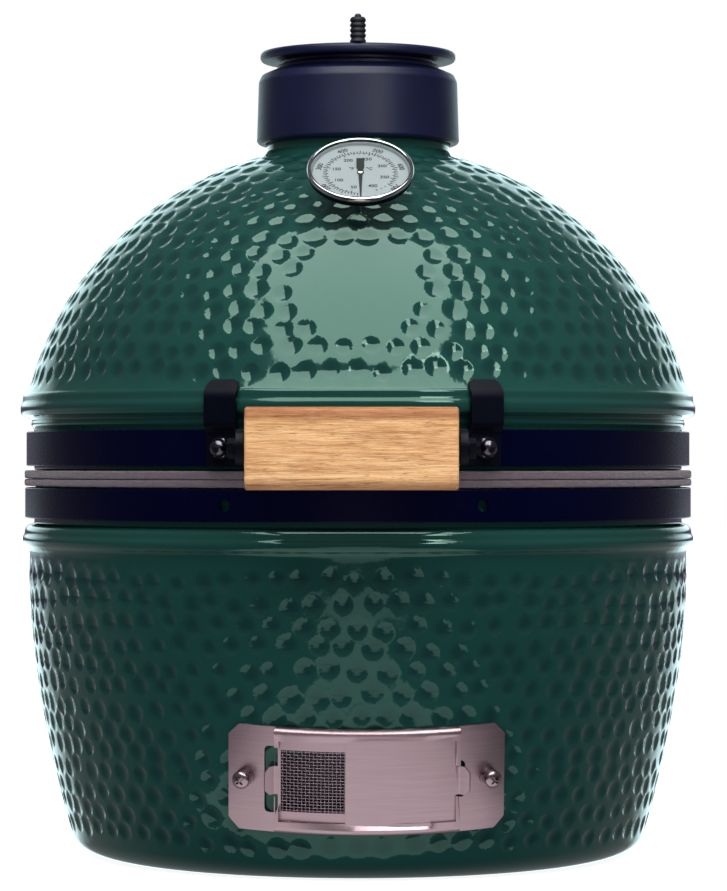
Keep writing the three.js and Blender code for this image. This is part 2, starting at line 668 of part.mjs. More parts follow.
function thermometerBezel() {
  return turned(
    [[29.3, 18.5], [29.7, 18.5], [30, 19.3], [30, 24], [29.4, 25.4], [28.4, 25.6], [27.6, 25.2], [27.6, 24.9],
      [29.3, 24.9], [29.3, 18.5]],
    PART_SIDES,
  );
}

function thermometerPointer() {
  const half = [[1.1, -3], [2.2, 4.5], [2.2, 13.4]];
  const mirrored = half.map(([x, y]) => [-x, y]).reverse();
  const needle = outline([[0, -23.5], ...half, ...mirrored]);
  const hub = disc(1.9, DIAL_Z + 1, DIAL_Z + 2.6, BOLT_SIDES);
  return join(slab(needle, 0.8).translate(0, 0, DIAL_Z + 1.1), hub);
}

function addThermometer(parent) {
  const { r, z, elevation, yaw } = THERMOMETER;
  const place = { x: r * Math.sin(rad(yaw)), y: -r * Math.cos(rad(yaw)), z, tilt: 90 - elevation, yaw };
  const group = groupAt(parent, place);
  piece(group, "thermometer_case", thermometerCase(), COLOURS.blackSteel);
  piece(group, "thermometer_bezel", thermometerBezel(), COLOURS.stainless);
  piece(group, "thermometer_lens", disc(LENS_R, 23.5, 24.6, PART_SIDES), COLOURS.glass);
  const dial = cut(disc(DIAL_R, DIAL_Z - 0.8, DIAL_Z, PART_SIDES), disc(1.2, DIAL_Z - 2, DIAL_Z + 1, 8));
  piece(group, "thermometer_dial", dial, COLOURS.dialWhite);
  piece(group, "thermometer_pointer", thermometerPointer(), COLOURS.pointerBlack);
  const { radius, tip, root } = PROBE;
  const outer = [[0, tip], [2.2, tip + 2], [radius, tip + 6], [radius, root], [0, root]];
  const probe = turned(outer, BOLT_SIDES);
  piece(group, "thermometer_probe", probe, COLOURS.stainless);
  const clip = cut(disc(12, -29, -27.4, BOLT_SIDES), disc(PROBE.radius + GAP, -31, -25, BOLT_SIDES));
  piece(group, "thermometer_clip", clip, COLOURS.stainless);
}

// ---------------------------------------------------------------- draft door, in the bend's own frame
const alongArc = (x) => THREE.MathUtils.radToDeg(x / DOOR_BEND_R);
const HALF_HEIGHT = DOOR_HEIGHT / 2;
const RAISED_R = DOOR_BEND_R + CHANNEL_DEPTH;
const SLIDER_HALF_HEIGHT = HALF_HEIGHT - SHEET - 0.5;
const SCREW_X = 68;
const SCREW = { shankR: 2.4, headR: 5, boreR: 3, deep: 12 };
const WASHER_STACK = 5.4;
const WINDOW_MARGIN = 2.4;
const END_SLOTS = [
  { side: -1, inwards: 3, outwards: 6.5, half: 19 },
  { side: 1, inwards: 3, outwards: 4, half: 10.5 },
];

function doorArc(inner, outer, fromX, toX, low, high, steps) {
  return arcPlate(inner, outer, alongArc(fromX), alongArc(toX), low, high, steps);
}

function doorFrame() {
  const edge = CHANNEL_HALF_WIDTH;
  const parts = [doorArc(RAISED_R - SHEET, RAISED_R, -edge, edge, -HALF_HEIGHT, HALF_HEIGHT, 8)];
  for (const side of [-1, 1]) {
    const span = (a, b) => [side * a, side * b].sort((p, q) => p - q);
    const flange = span(edge - SHEET, DOOR_HALF_WIDTH);
    parts.push(doorArc(DOOR_BEND_R, DOOR_BEND_R + SHEET, ...flange, -HALF_HEIGHT, HALF_HEIGHT, 4));
    const step = span(edge - SHEET, edge);
    parts.push(doorArc(DOOR_BEND_R, RAISED_R, ...step, -HALF_HEIGHT, HALF_HEIGHT, 1));
    const lip = [side * (HALF_HEIGHT - SHEET), side * HALF_HEIGHT].sort((p, q) => p - q);
    parts.push(doorArc(DOOR_BEND_R, RAISED_R, -edge, edge, ...lip, 8));
  }
  const window = HALF_HEIGHT - RAIL_HEIGHT;
  const opening = edge - WINDOW_MARGIN;
  const tools = [doorArc(RAISED_R - 3, RAISED_R + 3, -opening, opening, -window, window, 8)];
  for (const { side, inwards, outwards, half } of END_SLOTS) {
    const slot = [side * (edge - inwards), side * (edge + outwards)].sort((p, q) => p - q);
    tools.push(doorArc(DOOR_BEND_R - 2, RAISED_R - SHEET + 0.1, ...slot, -half, half, 2));
    tools.push(rodFront(SCREW.boreR, 180, 195, 0, BOLT_SIDES).rotateZ(rad(side * alongArc(SCREW_X))));
    for (const end of [-1, 1]) {
      const corner = new THREE.BoxGeometry(14, 20, 14).rotateY(Math.PI / 4);
      corner.translate(0, -DOOR_BEND_R, end * (HALF_HEIGHT + 3.6));
      tools.push(corner.rotateZ(rad(side * alongArc(DOOR_HALF_WIDTH + 3.4))));
    }
  }
  return cut(join(...parts), ...tools);
}

// Each slider runs behind the window, with a tongue through the frame's end slot.
const SCREEN = { inner: DOOR_BEND_R + 1.5, outer: DOOR_BEND_R + 2.4, from: -49, to: 12 };
const PLATE = { inner: DOOR_BEND_R + 2.8, outer: DOOR_BEND_R + 3.8, from: -12, to: 48.6 };
const TONGUE = { half: 8, length: 9 };
const MESH_WINDOW = { from: -47.4, to: -3, half: 17.5 };

function draftScreen() {
  const { inner, outer, from, to } = SCREEN;
  const sheet = doorArc(inner, outer, from, to, -SLIDER_HALF_HEIGHT, SLIDER_HALF_HEIGHT, 6);
  const tongue = doorArc(inner, outer, from - TONGUE.length, from + 1, -TONGUE.half, TONGUE.half, 2);
  const { half } = MESH_WINDOW;
  const opening = doorArc(inner - 2, outer + 2, MESH_WINDOW.from, MESH_WINDOW.to, -half, half, 6);
  return cut(join(sheet, tongue), opening);
}

function draftMesh() {
  const { from, to, half } = MESH_WINDOW;
  const inset = 0.35;
  const [left, right, tall] = [from + inset, to - inset, half - inset];
  return doorArc(SCREEN.inner + inset / 2, SCREEN.outer - inset / 2, left, right, -tall, tall, 6);
}

function draftPlate() {
  const { inner, outer, from, to } = PLATE;
  const sheet = doorArc(inner, outer, from, to, -SLIDER_HALF_HEIGHT, SLIDER_HALF_HEIGHT, 6);
  const tongue = doorArc(inner, outer, to - 1, to + TONGUE.length, -TONGUE.half, TONGUE.half, 2);
  return join(sheet, tongue);
}

function draftScrew(side) {
  const seat = DOOR_BEND_R + SHEET + 2 * GAP + WASHER_STACK;
  const { shankR, headR, deep } = SCREW;
  const shank = rodFront(shankR, DOOR_BEND_R - deep, seat + 1, 0, BOLT_SIDES);
  const crown = [[headR, seat], [headR, seat + 1.4], [3.4, seat + 3.2], [0, seat + 3.8]];
  const head = turned([[0, seat], ...crown], BOLT_SIDES).rotateX(Math.PI / 2);
  return join(shank, head).rotateZ(rad(side * alongArc(SCREW_X)));
}

function draftWasher(side) {
  const low = DOOR_BEND_R + SHEET + GAP;
  return ring(2.8, 5.2, low, low + WASHER_STACK, BOLT_SIDES)
    .rotateX(Math.PI / 2)
    .rotateZ(rad(side * alongArc(SCREW_X)));
}

// Blind holes in the base for the draft door's screws, cut in the base's own frame.
function screwHoles() {
  const holder = new THREE.Group();
  const group = doorGroup(holder);
  holder.updateMatrixWorld(true);
  return [-1, 1].map((side) =>
    rodFront(SCREW.boreR, DOOR_BEND_R - SCREW.deep - 2, DOOR_BEND_R + 3, 0, BOLT_SIDES)
      .rotateZ(rad(side * alongArc(SCREW_X)))
      .applyMatrix4(group.matrixWorld),
  );
}

function addDraftDoor(parent) {
  const group = doorGroup(parent);
  piece(group, "draft_frame", doorFrame(), COLOURS.stainless);
  piece(group, "draft_screen", draftScreen(), COLOURS.stainless);
  piece(group, "draft_mesh", draftMesh(), COLOURS.stainless);
  piece(group, "draft_plate", draftPlate(), COLOURS.stainless);
  for (const [hand, side] of [["left", -1], ["right", 1]]) {
    piece(group, "draft_screw_" + hand, draftScrew(side), COLOURS.stainless);
    piece(group, "draft_washer_" + hand, draftWasher(side), COLOURS.stainless);
  }
}

// ---------------------------------------------------------------- assembly
const grill = new THREE.Group();
addCeramics(grill);
addBands(grill);
addHinge(grill);
addHandle(grill);
addCap(grill);
addThermometer(grill);
addDraftDoor(grill);

export default grill;
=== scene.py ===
"""The looks of a kamado ceramic grill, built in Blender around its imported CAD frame.

Lengths are millimetres until a mesh becomes a piece; Blender's objects are metres in the CAD's frame,
with +Z up, the front towards -Y and the origin at the centre of the foot.
"""
import math

import bmesh
import bpy
import numpy as np
from mathutils import Matrix, Vector
from mathutils.geometry import delaunay_2d_cdt
from mathutils.kdtree import KDTree


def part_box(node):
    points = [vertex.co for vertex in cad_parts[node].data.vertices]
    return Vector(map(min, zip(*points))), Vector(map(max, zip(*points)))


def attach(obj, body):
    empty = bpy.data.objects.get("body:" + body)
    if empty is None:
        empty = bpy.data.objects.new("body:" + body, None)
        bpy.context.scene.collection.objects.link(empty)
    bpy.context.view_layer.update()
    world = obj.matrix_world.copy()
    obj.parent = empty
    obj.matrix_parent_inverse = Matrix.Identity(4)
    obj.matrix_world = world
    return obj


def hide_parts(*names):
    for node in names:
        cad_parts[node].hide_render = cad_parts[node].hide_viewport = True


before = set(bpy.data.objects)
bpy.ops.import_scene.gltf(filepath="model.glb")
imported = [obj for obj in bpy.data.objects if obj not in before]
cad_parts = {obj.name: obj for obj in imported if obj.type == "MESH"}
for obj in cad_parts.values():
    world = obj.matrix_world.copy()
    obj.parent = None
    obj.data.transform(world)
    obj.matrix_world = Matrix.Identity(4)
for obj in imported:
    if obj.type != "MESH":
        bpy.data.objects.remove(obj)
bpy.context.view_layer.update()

MM = 0.001

# ---------------------------------------------------------------- driving dimensions
ROUND = 192  # facets round the shells, hoops and rings
TURNED = 96  # facets round the cap and thermometer
SMALL = 40  # facets round bolts, studs and pins

BASE_RIM_Z = 218.5
DOME_RIM_Z = 228.1
RIM_INNER_R = 172.5
RIM_R = 193.4
BASE_FLANGE_R = 200.3
DOME_FLANGE_R = 201.5
NECK_R = 54.5
NECK_TOP_Z = 445
FLUE_R = 40
FLOOR_Z = 24
PORT = {"x": (-43, -3), "y": (-200, -120), "z": (38, 73)}  # draft opening through the base

DIMPLE_SPACING = 15.0
DIMPLE_R = 6.3
DIMPLE_DEPTH = 1.3
DIMPLE_ROW_PITCH = 0.85  # of the spacing
DIMPLE_MARGIN = 3.6  # between a dimple and the end of its zone
DIMPLE_DRIFT = 2.6  # the most that a dimple strays from its row
DIMPLE_RINGS = ((0.0, 1), (0.4, 6), (0.72, 11), (0.92, 15), (1.07, 15))  # share of the radius, points
FILLER_SPACING = 6.0  # lattice between the dimples
SMOOTH_PATCH = {"half_x": 35, "z": 329, "half_z": 28, "power": 2.6}  # the plain area on the dome's front

BAND_THICK = 3
CLAMP_Y = 206  # the bolts through the bands' ears
BANDS = {
    "upper": {"low": 230.4, "high": 250.8, "outer": 198.0},
    "lower": {"low": 199.8, "high": 217.8, "outer": 198.8},
}
BAND_EAR_X = 39.5
BAND_EAR_Y = 213
GASKETS = {"base": (218.8, 222.8), "dome": (223.2, 227.8)}
GASKET_R = (174.5, 199.2)

HANDLE_YAW = -0.73
BRACKET_AZIMUTH = 21
HANDLE = {"half": 22, "corner": 6.5, "length": 113, "reach": 245, "z": 240}
STUD_Z = 240.6
ARM = {"inner": 57.3, "outer": 61.8, "low": 231, "high": 250.4}

HINGE = {"y": 224, "z": 223, "pin": 4}
CAP_PIVOT_Y = 49.5
GRIP_Y = -54
DISC = {"low": 472.6, "high": 478, "radius": 58.5}

THERMOMETER = {"r": 130, "z": 378, "elevation": 50, "yaw": 0.55}
DIAL_Z = 21.6
SCALE_R = 19.2

DOOR = {"yaw": 1.6, "tilt": 11.5, "bend": 187, "seat_r": 182.7, "seat_z": 57.2, "clearance": 0.8}
DOOR_HALF_HEIGHT = 30
DOOR_HALF_WIDTH = 78
CHANNEL_HALF_WIDTH = 50.5
CHANNEL_DEPTH = 5.4
SHEET = 1.2
SCREW_X = 68
MESH_WINDOW = {"x": (-47.4, -3), "half_z": 17.5, "pitch_x": 2.1, "pitch_z": 1.75, "wire": 0.27}
DOOR_CORNER = 6.2
END_SLOTS = ((-1, 6.5, 19), (1, 4, 10.5))  # side, reach past the channel, half height
TONGUE = {"half": 8, "length": 9, "chamfer": 3, "straight": 1.2, "bend_r": 2.2, "bend": 52}
WASHER_STACK = 5.4

KEY = {"azimuth": 0, "elevation": 59, "distance": 1.3, "size": (1.33, 1.4), "radiance": 4.25}
STRIP = {"azimuth": 22, "elevation": 3, "distance": 0.55, "size": (0.09, 0.17), "radiance": 7.0}
KEY_AIM = (0, 0, 0.28)
STRIP_AIM = (0, 0, 0.45)
CARDS = {  # on the floor in front: middle x, width, near y, far y, radiance
    "door_card": (-0.005, 0.31, -0.185, -0.42, 0.76),
    "near_card": (-0.005, 0.22, -0.43, -1.0, 0.74),
    "far_card": (0.0, 0.6, -1.0, -3.4, 0.6),
}
CARD_HEIGHT = 0.004
FLOOR_R = 9
WORLD_FRONT = (0.03, 0.03, 0.04, 1)
WORLD_LEVEL = (0.14, 0.09, 0.17, 1)
WORLD_UNDER = (0.3, 0.32, 0.32, 1)
WORLD_OVER = (0.12, 0.13, 0.13, 1)
WORLD_BACK = (1.6, 2.1, 2.2, 1)
WORLD_FILL = (0.46, 0.52, 0.6, 1)
CAMERA = {"at": (0, -2.150, 0.2334), "lens": 144.8, "shift_x": 0.0062, "shift_y": 0.0174}

HANDS = (("left", -1), ("right", 1))
chance = np.random.default_rng(7)


# ---------------------------------------------------------------- outlines
def bezier(controls, steps):
    """Points along a Bezier curve of any degree, both ends included."""
    t = np.linspace(0, 1, steps + 1)[:, None]
    points = [np.array(c, float)[None, :].repeat(len(t), 0) for c in controls]
    while len(points) > 1:
        points = [a * (1 - t) + b * t for a, b in zip(points, points[1:])]
    return [tuple(p) for p in points[0]]


def rounded(points, radius, steps=4, closed=True):
    """An outline with each corner turned into a small curve."""
    points = [np.array(p, float) for p in points]
    made = []
    for i, here in enumerate(points):
        if not closed and i in (0, len(points) - 1):
            made.append(tuple(here))
            continue
        before = points[i - 1] - here
        after = points[(i + 1) % len(points)] - here
        reach = min(radius, 0.45 * np.linalg.norm(before), 0.45 * np.linalg.norm(after))
        start = here + before / np.linalg.norm(before) * reach
        end = here + after / np.linalg.norm(after) * reach
        made.extend(bezier((start, here, end), steps))
    return made


def circle(radius, sides, centre=(0, 0), start=0.0):
    angles = [start + 2 * math.pi * i / sides for i in range(sides)]
    return [(centre[0] + radius * math.cos(a), centre[1] + radius * math.sin(a)) for a in angles]


def rectangle(low_x, low_y, high_x, high_y):
    return [(low_x, low_y), (high_x, low_y), (high_x, high_y), (low_x, high_y)]


# ---------------------------------------------------------------- meshes
def mesh_from(bm):
    mesh = bpy.data.meshes.new("made")
    bm.to_mesh(mesh)
    bm.free()
    return mesh


def editable(*meshes):
    """The meshes as one bmesh, which takes their place."""
    bm = bmesh.new()
    for mesh in meshes:
        bm.from_mesh(mesh)
        bpy.data.meshes.remove(mesh)
    return bm


def mesh_of(vertices, faces):
    """A mesh with its faces turned outwards."""
    mesh = bpy.data.meshes.new("made")
    mesh.from_pydata([tuple(v) for v in vertices], [], [list(f) for f in faces])
    bm = editable(mesh)
    bmesh.ops.recalc_face_normals(bm, faces=bm.faces)
    return mesh_from(bm)


def ring_faces(low, high):
    """Faces between two rows of vertices; a row on the axis repeats its one vertex."""
    faces = []
    for i in range(len(low)):
        j = (i + 1) % len(low)
        face = list(dict.fromkeys((low[i], low[j], high[j], high[i])))
        if len(face) > 2:
            faces.append(face)
    return faces


def ring_rows(profile, sides, first):
    """The vertices of a profile turned about Z, and each profile point's row of vertex numbers."""
    vertices, rows = [], []
    for radius, z in profile:
        start = first + len(vertices)
        if radius < 1e-6:
            vertices.append((0, 0, z))
            rows.append([start] * sides)
            continue
        angles = [2 * math.pi * i / sides for i in range(sides)]
        vertices.extend((radius * math.sin(a), -radius * math.cos(a), z) for a in angles)
        rows.append(list(range(start, start + sides)))
    return vertices, rows


def turned(profile, sides=TURNED):
    """A closed body of revolution about Z from a (radius, z) outline."""
    vertices, rows = ring_rows(profile, sides, 0)
    faces = []
    for low, high in zip(rows, rows[1:] + rows[:1]):
        faces.extend(ring_faces(low, high))
    return mesh_of(vertices, faces)


def soften(mesh, width, degrees=30, segments=2):
    """Rounds every edge sharper than an angle."""
    bm = editable(mesh)
    limit = math.radians(degrees)
    edges = [e for e in bm.edges if e.is_manifold and e.calc_face_angle(0) > limit]
    bmesh.ops.bevel(bm, geom=edges, offset=width, segments=segments, profile=0.5, affect="EDGES",
                    clamp_overlap=True)
    return mesh_from(bm)


def prism(outline, low, high, bevel=0.0):
    """An outline in X and Y made solid from one height to another."""
    count = len(outline)
    vertices = [(x, y, z) for z in (low, high) for x, y in outline]
    sides = [(i, (i + 1) % count, count + (i + 1) % count, count + i) for i in range(count)]
    caps = [tuple(range(count)), tuple(range(count, 2 * count))]
    mesh = mesh_of(vertices, sides + caps)
    return soften(mesh, bevel) if bevel else mesh


def box(low, high, bevel=0.0):
    outline = rectangle(low[0], low[1], high[0], high[1])
    return prism(outline, low[2], high[2], bevel)


def tube(points, radius, sides=8, closed=False):
    """A round bar along a path."""
    path = np.array(points, float)
    count = len(path)
    ahead = np.roll(path, -1, 0) - np.roll(path, 1, 0)
    if not closed:
        ahead[0] = path[1] - path[0]
        ahead[-1] = path[-1] - path[-2]
    ahead /= np.linalg.norm(ahead, axis=1)[:, None]
    across = np.cross(ahead[0], (0.0, 0.0, 1.0))
    if np.linalg.norm(across) < 0.1:
        across = np.cross(ahead[0], (1.0, 0.0, 0.0))
    vertices = []
    for here, direction in zip(path, ahead):
        across = across - direction * across.dot(direction)
        across /= np.linalg.norm(across)
        third = np.cross(direction, across)
        for i in range(sides):
            angle = 2 * math.pi * i / sides
            vertices.append(here + radius * (math.cos(angle) * across + math.sin(angle) * third))
    rows = [list(range(i * sides, (i + 1) * sides)) for i in range(count)]
    pairs = list(zip(rows, rows[1:]))
    if closed:
        pairs.append((rows[-1], rows[0]))
    faces = [f for low, high in pairs for f in ring_faces(low, high)]
    if not closed:
        faces += [rows[0], rows[-1]]
    return mesh_of(vertices, faces)


def ribbon(path, section):
    """A section in (outwards, z) carried along a path in X and Y, closed at both ends."""
    path = np.array(path, float)
    ahead = np.gradient(path, axis=0)
    ahead /= np.linalg.norm(ahead, axis=1)[:, None]
    outwards = np.stack([ahead[:, 1], -ahead[:, 0]], 1)
    vertices = []
    for here, normal in zip(path, outwards):
        vertices.extend((here[0] + normal[0] * d, here[1] + normal[1] * d, z) for d, z in section)
    size = len(section)
    rows = [list(range(i * size, (i + 1) * size)) for i in range(len(path))]
    faces = [f for low, high in zip(rows, rows[1:]) for f in ring_faces(low, high)]
    return mesh_of(vertices, faces + [rows[0], rows[-1]])


def moved(mesh, *steps):
    """The mesh after each step, in the order given."""
    for step in steps:
        mesh.transform(step)
    return mesh


def shift(x, y, z):
    return Matrix.Translation((x, y, z))


def spin(axis, degrees):
    return Matrix.Rotation(math.radians(degrees), 4, axis)


def merged(meshes):
    """Several meshes as one, without joining their surfaces."""
    return mesh_from(editable(*meshes))


def combine(mesh, tools, operation):
    """Adds closed tools to a closed mesh, or cuts them out of it."""
    body = bpy.data.objects.new("scratch_body", mesh)
    bpy.context.scene.collection.objects.link(body)
    helpers = []
    for tool in tools:
        helper = bpy.data.objects.new("scratch_tool", tool)
        bpy.context.scene.collection.objects.link(helper)
        modifier = body.modifiers.new("join", "BOOLEAN")
        modifier.operation = operation
        modifier.solver = "MANIFOLD"
        modifier.object = helper
        helpers.append(helper)
    graph = bpy.context.evaluated_depsgraph_get()
    result = bpy.data.meshes.new_from_object(body.evaluated_get(graph))
    for scratch in [body] + helpers:
        data = scratch.data
        bpy.data.objects.remove(scratch)
        bpy.data.meshes.remove(data)
    if not any(result.materials):
        result.materials.clear()
    return result


def cut(mesh, *tools):
    return combine(mesh, tools, "DIFFERENCE")


def joined(mesh, *others):
    return combine(mesh, others, "UNION")


def shade(mesh, degrees=35):
    """Smooth shading, with edges kept where two faces meet at more than an angle."""
    bm = bmesh.new()
    bm.from_mesh(mesh)
    limit = math.radians(degrees)
    for face in bm.faces:
        face.smooth = True
    for edge in bm.edges:
        edge.smooth = edge.is_manifold and edge.calc_face_angle(0) < limit
    bm.to_mesh(mesh)
    bm.free()


def add(name, mesh, body, slot, material, replaced=(), place=None, degrees=35):
    """Turns a mesh in millimetres into a finished piece that rides on a CAD body."""
    mesh.transform(Matrix.Scale(MM, 4))
    shade(mesh, degrees)
    mesh.name = name
    piece = bpy.data.objects.new(name, mesh)
    bpy.context.scene.collection.objects.link(piece)
    if not mesh.materials:
        mesh.materials.append(material)
    even = piece.modifiers.new("even_shading", "WEIGHTED_NORMAL")
    even.keep_sharp = True
    even.weight = 100
    if place is not None:
        piece.matrix_world = place
    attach(piece, body)
    if replaced:
        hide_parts(*replaced)


# ---------------------------------------------------------------- material nodes
class Nodes:
    """A node tree, and short ways to add nodes to it."""

    def __init__(self, tree):
        self.tree = tree

    def feed(self, target, value):
        if isinstance(value, bpy.types.NodeSocket):
            self.tree.links.new(value, target)
        else:
            target.default_value = value

    def node(self, kind, inputs=None, **settings):
        made = self.tree.nodes.new("ShaderNode" + kind)
        for key, value in settings.items():
            setattr(made, key, value)
        for key, value in (inputs or {}).items():
            self.feed(made.inputs[key], value)
        return made

    def blend(self, factor, first, second, kind="MIX"):
        inputs = {"Fac": factor, "Color1": first, "Color2": second}
        return self.node("MixRGB", inputs, blend_type=kind).outputs["Color"]


class Paint(Nodes):
    """A material with its Principled shader."""

    def __init__(self, name, **values):
        self.material = bpy.data.materials.new(name)
        self.material.use_nodes = True
        super().__init__(self.material.node_tree)
        self.shader = self.tree.nodes["Principled BSDF"]
        for socket, value in values.items():
            self.set(socket.replace("_", " "), value)
        self.where = self.node("TexCoord").outputs["Object"]

    def set(self, socket, value):
        self.feed(self.shader.inputs[socket], value)

    def stretched(self, x, y, z, turn=(0, 0, 0)):
        """The object's own coordinates, in metres, scaled along each axis."""
        inputs = {"Vector": self.where, "Scale": (x, y, z), "Rotation": turn}
        return self.node("Mapping", inputs).outputs["Vector"]

    def noise(self, scale, detail=3.0, roughness=0.55, distortion=0.0, vector=None):
        inputs = {"Vector": vector or self.where, "Scale": scale, "Detail": detail,
                  "Roughness": roughness, "Distortion": distortion}
        return self.node("TexNoise", inputs).outputs["Fac"]

    def spots(self, scale, vector=None):
        return self.node("TexVoronoi", {"Vector": vector or self.where, "Scale": scale}).outputs["Distance"]

    def ramp(self, factor, *stops):
        """A colour ramp from (place, colour) stops."""
        made = self.node("ValToRGB", {"Fac": factor})
        elements = made.color_ramp.elements
        while len(elements) < len(stops):
            elements.new(0.5)
        for element, (place, colour) in zip(elements, stops):
            element.position = place
            element.color = (*colour, 1)
        return made.outputs["Color"]

    def span(self, factor, low, high, start=0.0, end=1.0):
        """A value eased from start..end to low..high."""
        inputs = {"Value": factor, "From Min": start, "From Max": end, "To Min": low, "To Max": high}
        return self.node("MapRange", inputs).outputs["Result"]

    def maths(self, operation, first, second):
        return self.node("Math", {0: first, 1: second}, operation=operation).outputs["Value"]

    def bump(self, height, distance, strength=1.0, normal=None):
        inputs = {"Height": height, "Distance": distance, "Strength": strength}
        if normal is not None:
            inputs["Normal"] = normal
        made = self.node("Bump", inputs).outputs["Normal"]
        self.set("Normal", made)
        return made


def rgb(*screen):
    """A screen colour, 0 to 255, as the linear colour that a shader takes."""
    return tuple(((c / 255 + 0.055) / 1.055) ** 2.4 if c > 10 else c / 255 / 12.92 for c in screen)


# ---------------------------------------------------------------- materials
def glaze():
    paint = Paint("green_glaze", Specular_IOR_Level=0.5, Specular_Tint=(0.62, 1.0, 0.82, 1), IOR=1.5)
    hollow = paint.node("Attribute", attribute_name="hollow").outputs["Fac"]
    drift = paint.noise(14, 3)
    mottle = paint.noise(420, 4)
    pooled = paint.ramp(hollow, (0.0, rgb(22, 57, 50)), (0.35, rgb(20, 52, 47)), (1.0, rgb(15, 43, 40)))
    cloudy = paint.blend(paint.span(drift, 0.0, 0.5), pooled, (*rgb(18, 48, 46), 1))
    speckled = paint.blend(paint.span(mottle, 0.0, 0.25, 0.55, 0.8), cloudy, (*rgb(11, 32, 30), 1))
    paint.set("Base Color", speckled)
    paint.set("Roughness", paint.span(paint.noise(60, 2), 0.05, 0.11))
    ripple = paint.bump(paint.noise(110, 2), 0.00022, 0.5)
    paint.bump(paint.noise(900, 2), 0.00002, 0.5, ripple)
    return paint.material


def coat(name, specular, grain, tones, rough, relief=None, cloud=None):
    """A plain coat. The grain sets its roughness and relief, and its tones too unless there is a cloud."""
    paint = Paint(name, Specular_IOR_Level=specular)
    texture = paint.noise(*grain)
    tone = paint.noise(*cloud) if cloud else texture
    paint.set("Base Color", paint.ramp(tone, *tones))
    paint.set("Roughness", paint.span(texture, *rough))
    if relief:
        paint.bump(texture, *relief)
    return paint.material


def bisque():
    tones = (0.3, rgb(176, 158, 132)), (0.55, rgb(205, 190, 165)), (0.8, rgb(150, 128, 102))
    return coat("bare_ceramic", 0.2, (700, 4), tones, (0.8, 0.98), (0.0003, 0.6))


def fireclay():
    paint = Paint("fireclay", Specular_IOR_Level=0.2)
    grain = paint.noise(500, 5)
    cloud = paint.noise(22, 3)
    base = paint.ramp(cloud, (0.3, rgb(190, 162, 126)), (0.7, rgb(212, 190, 156)))
    flecks = paint.span(paint.spots(260), 1.0, 0.0, 0.08, 0.16)
    paint.set("Base Color", paint.blend(paint.span(flecks, 0.0, 0.65), base, (*rgb(104, 78, 56), 1)))
    paint.set("Roughness", paint.span(grain, 0.78, 0.97))
    paint.bump(grain, 0.0005, 0.7)
    return paint.material


def cast_iron():
    tones = (0.3, rgb(4, 8, 38)), (0.7, rgb(9, 13, 47))
    return coat("cast_iron", 0.34, (1700, 3, 0.6), tones, (0.36, 0.5, 0.3, 0.7), (0.00014, 0.7), (40, 2))


def band_paint():
    tones = (0.3, rgb(0, 1, 25)), (0.7, rgb(2, 2, 29))
    return coat("band_paint", 0.1, (500, 2), tones, (0.2, 0.34), (0.00006, 0.5), (9, 2))


def bracket_paint():
    tones = (0.3, rgb(0, 1, 12)), (0.8, rgb(0, 3, 18))
    return coat("bracket_paint", 0.12, (1300, 3), tones, (0.36, 0.5), (0.00014, 0.7))


def steel(name, dark, light, rough, lines=(40, 40, 2600), relief=0.00001):
    """Brushed steel whose lines run along the axis with the smallest scale."""
    paint = Paint(name, Metallic=1.0)
    brushed = paint.noise(1.0, 4, 0.7, vector=paint.stretched(*lines))
    smudge = paint.noise(55, 3)
    paint.set("Base Color", paint.ramp(brushed, (0.25, rgb(*dark)), (0.75, rgb(*light))))
    worn = paint.span(smudge, rough - 0.04, rough + 0.07)
    paint.set("Roughness", paint.maths("ADD", paint.span(brushed, -0.05, 0.06), worn))
    paint.bump(brushed, relief, 0.5)
    return paint.material


def felt():
    paint = Paint("felt", Roughness=1.0, Sheen_Weight=0.5, Sheen_Roughness=0.5, Specular_IOR_Level=0.1)
    paint.set("Sheen Tint", (0.8, 0.72, 0.74, 1))
    fibres = paint.noise(1.0, 5, 0.75, 2.0, paint.stretched(700, 700, 1500))
    tufts = paint.noise(260, 3)
    tone = paint.ramp(fibres, (0.25, rgb(56, 46, 50)), (0.5, rgb(86, 73, 77)), (0.8, rgb(118, 104, 107)))
    paint.set("Base Color", paint.blend(paint.span(tufts, 0.0, 0.4), tone, (*rgb(66, 54, 58), 1)))
    paint.bump(paint.maths("ADD", fibres, tufts), 0.0006, 0.9)
    return paint.material


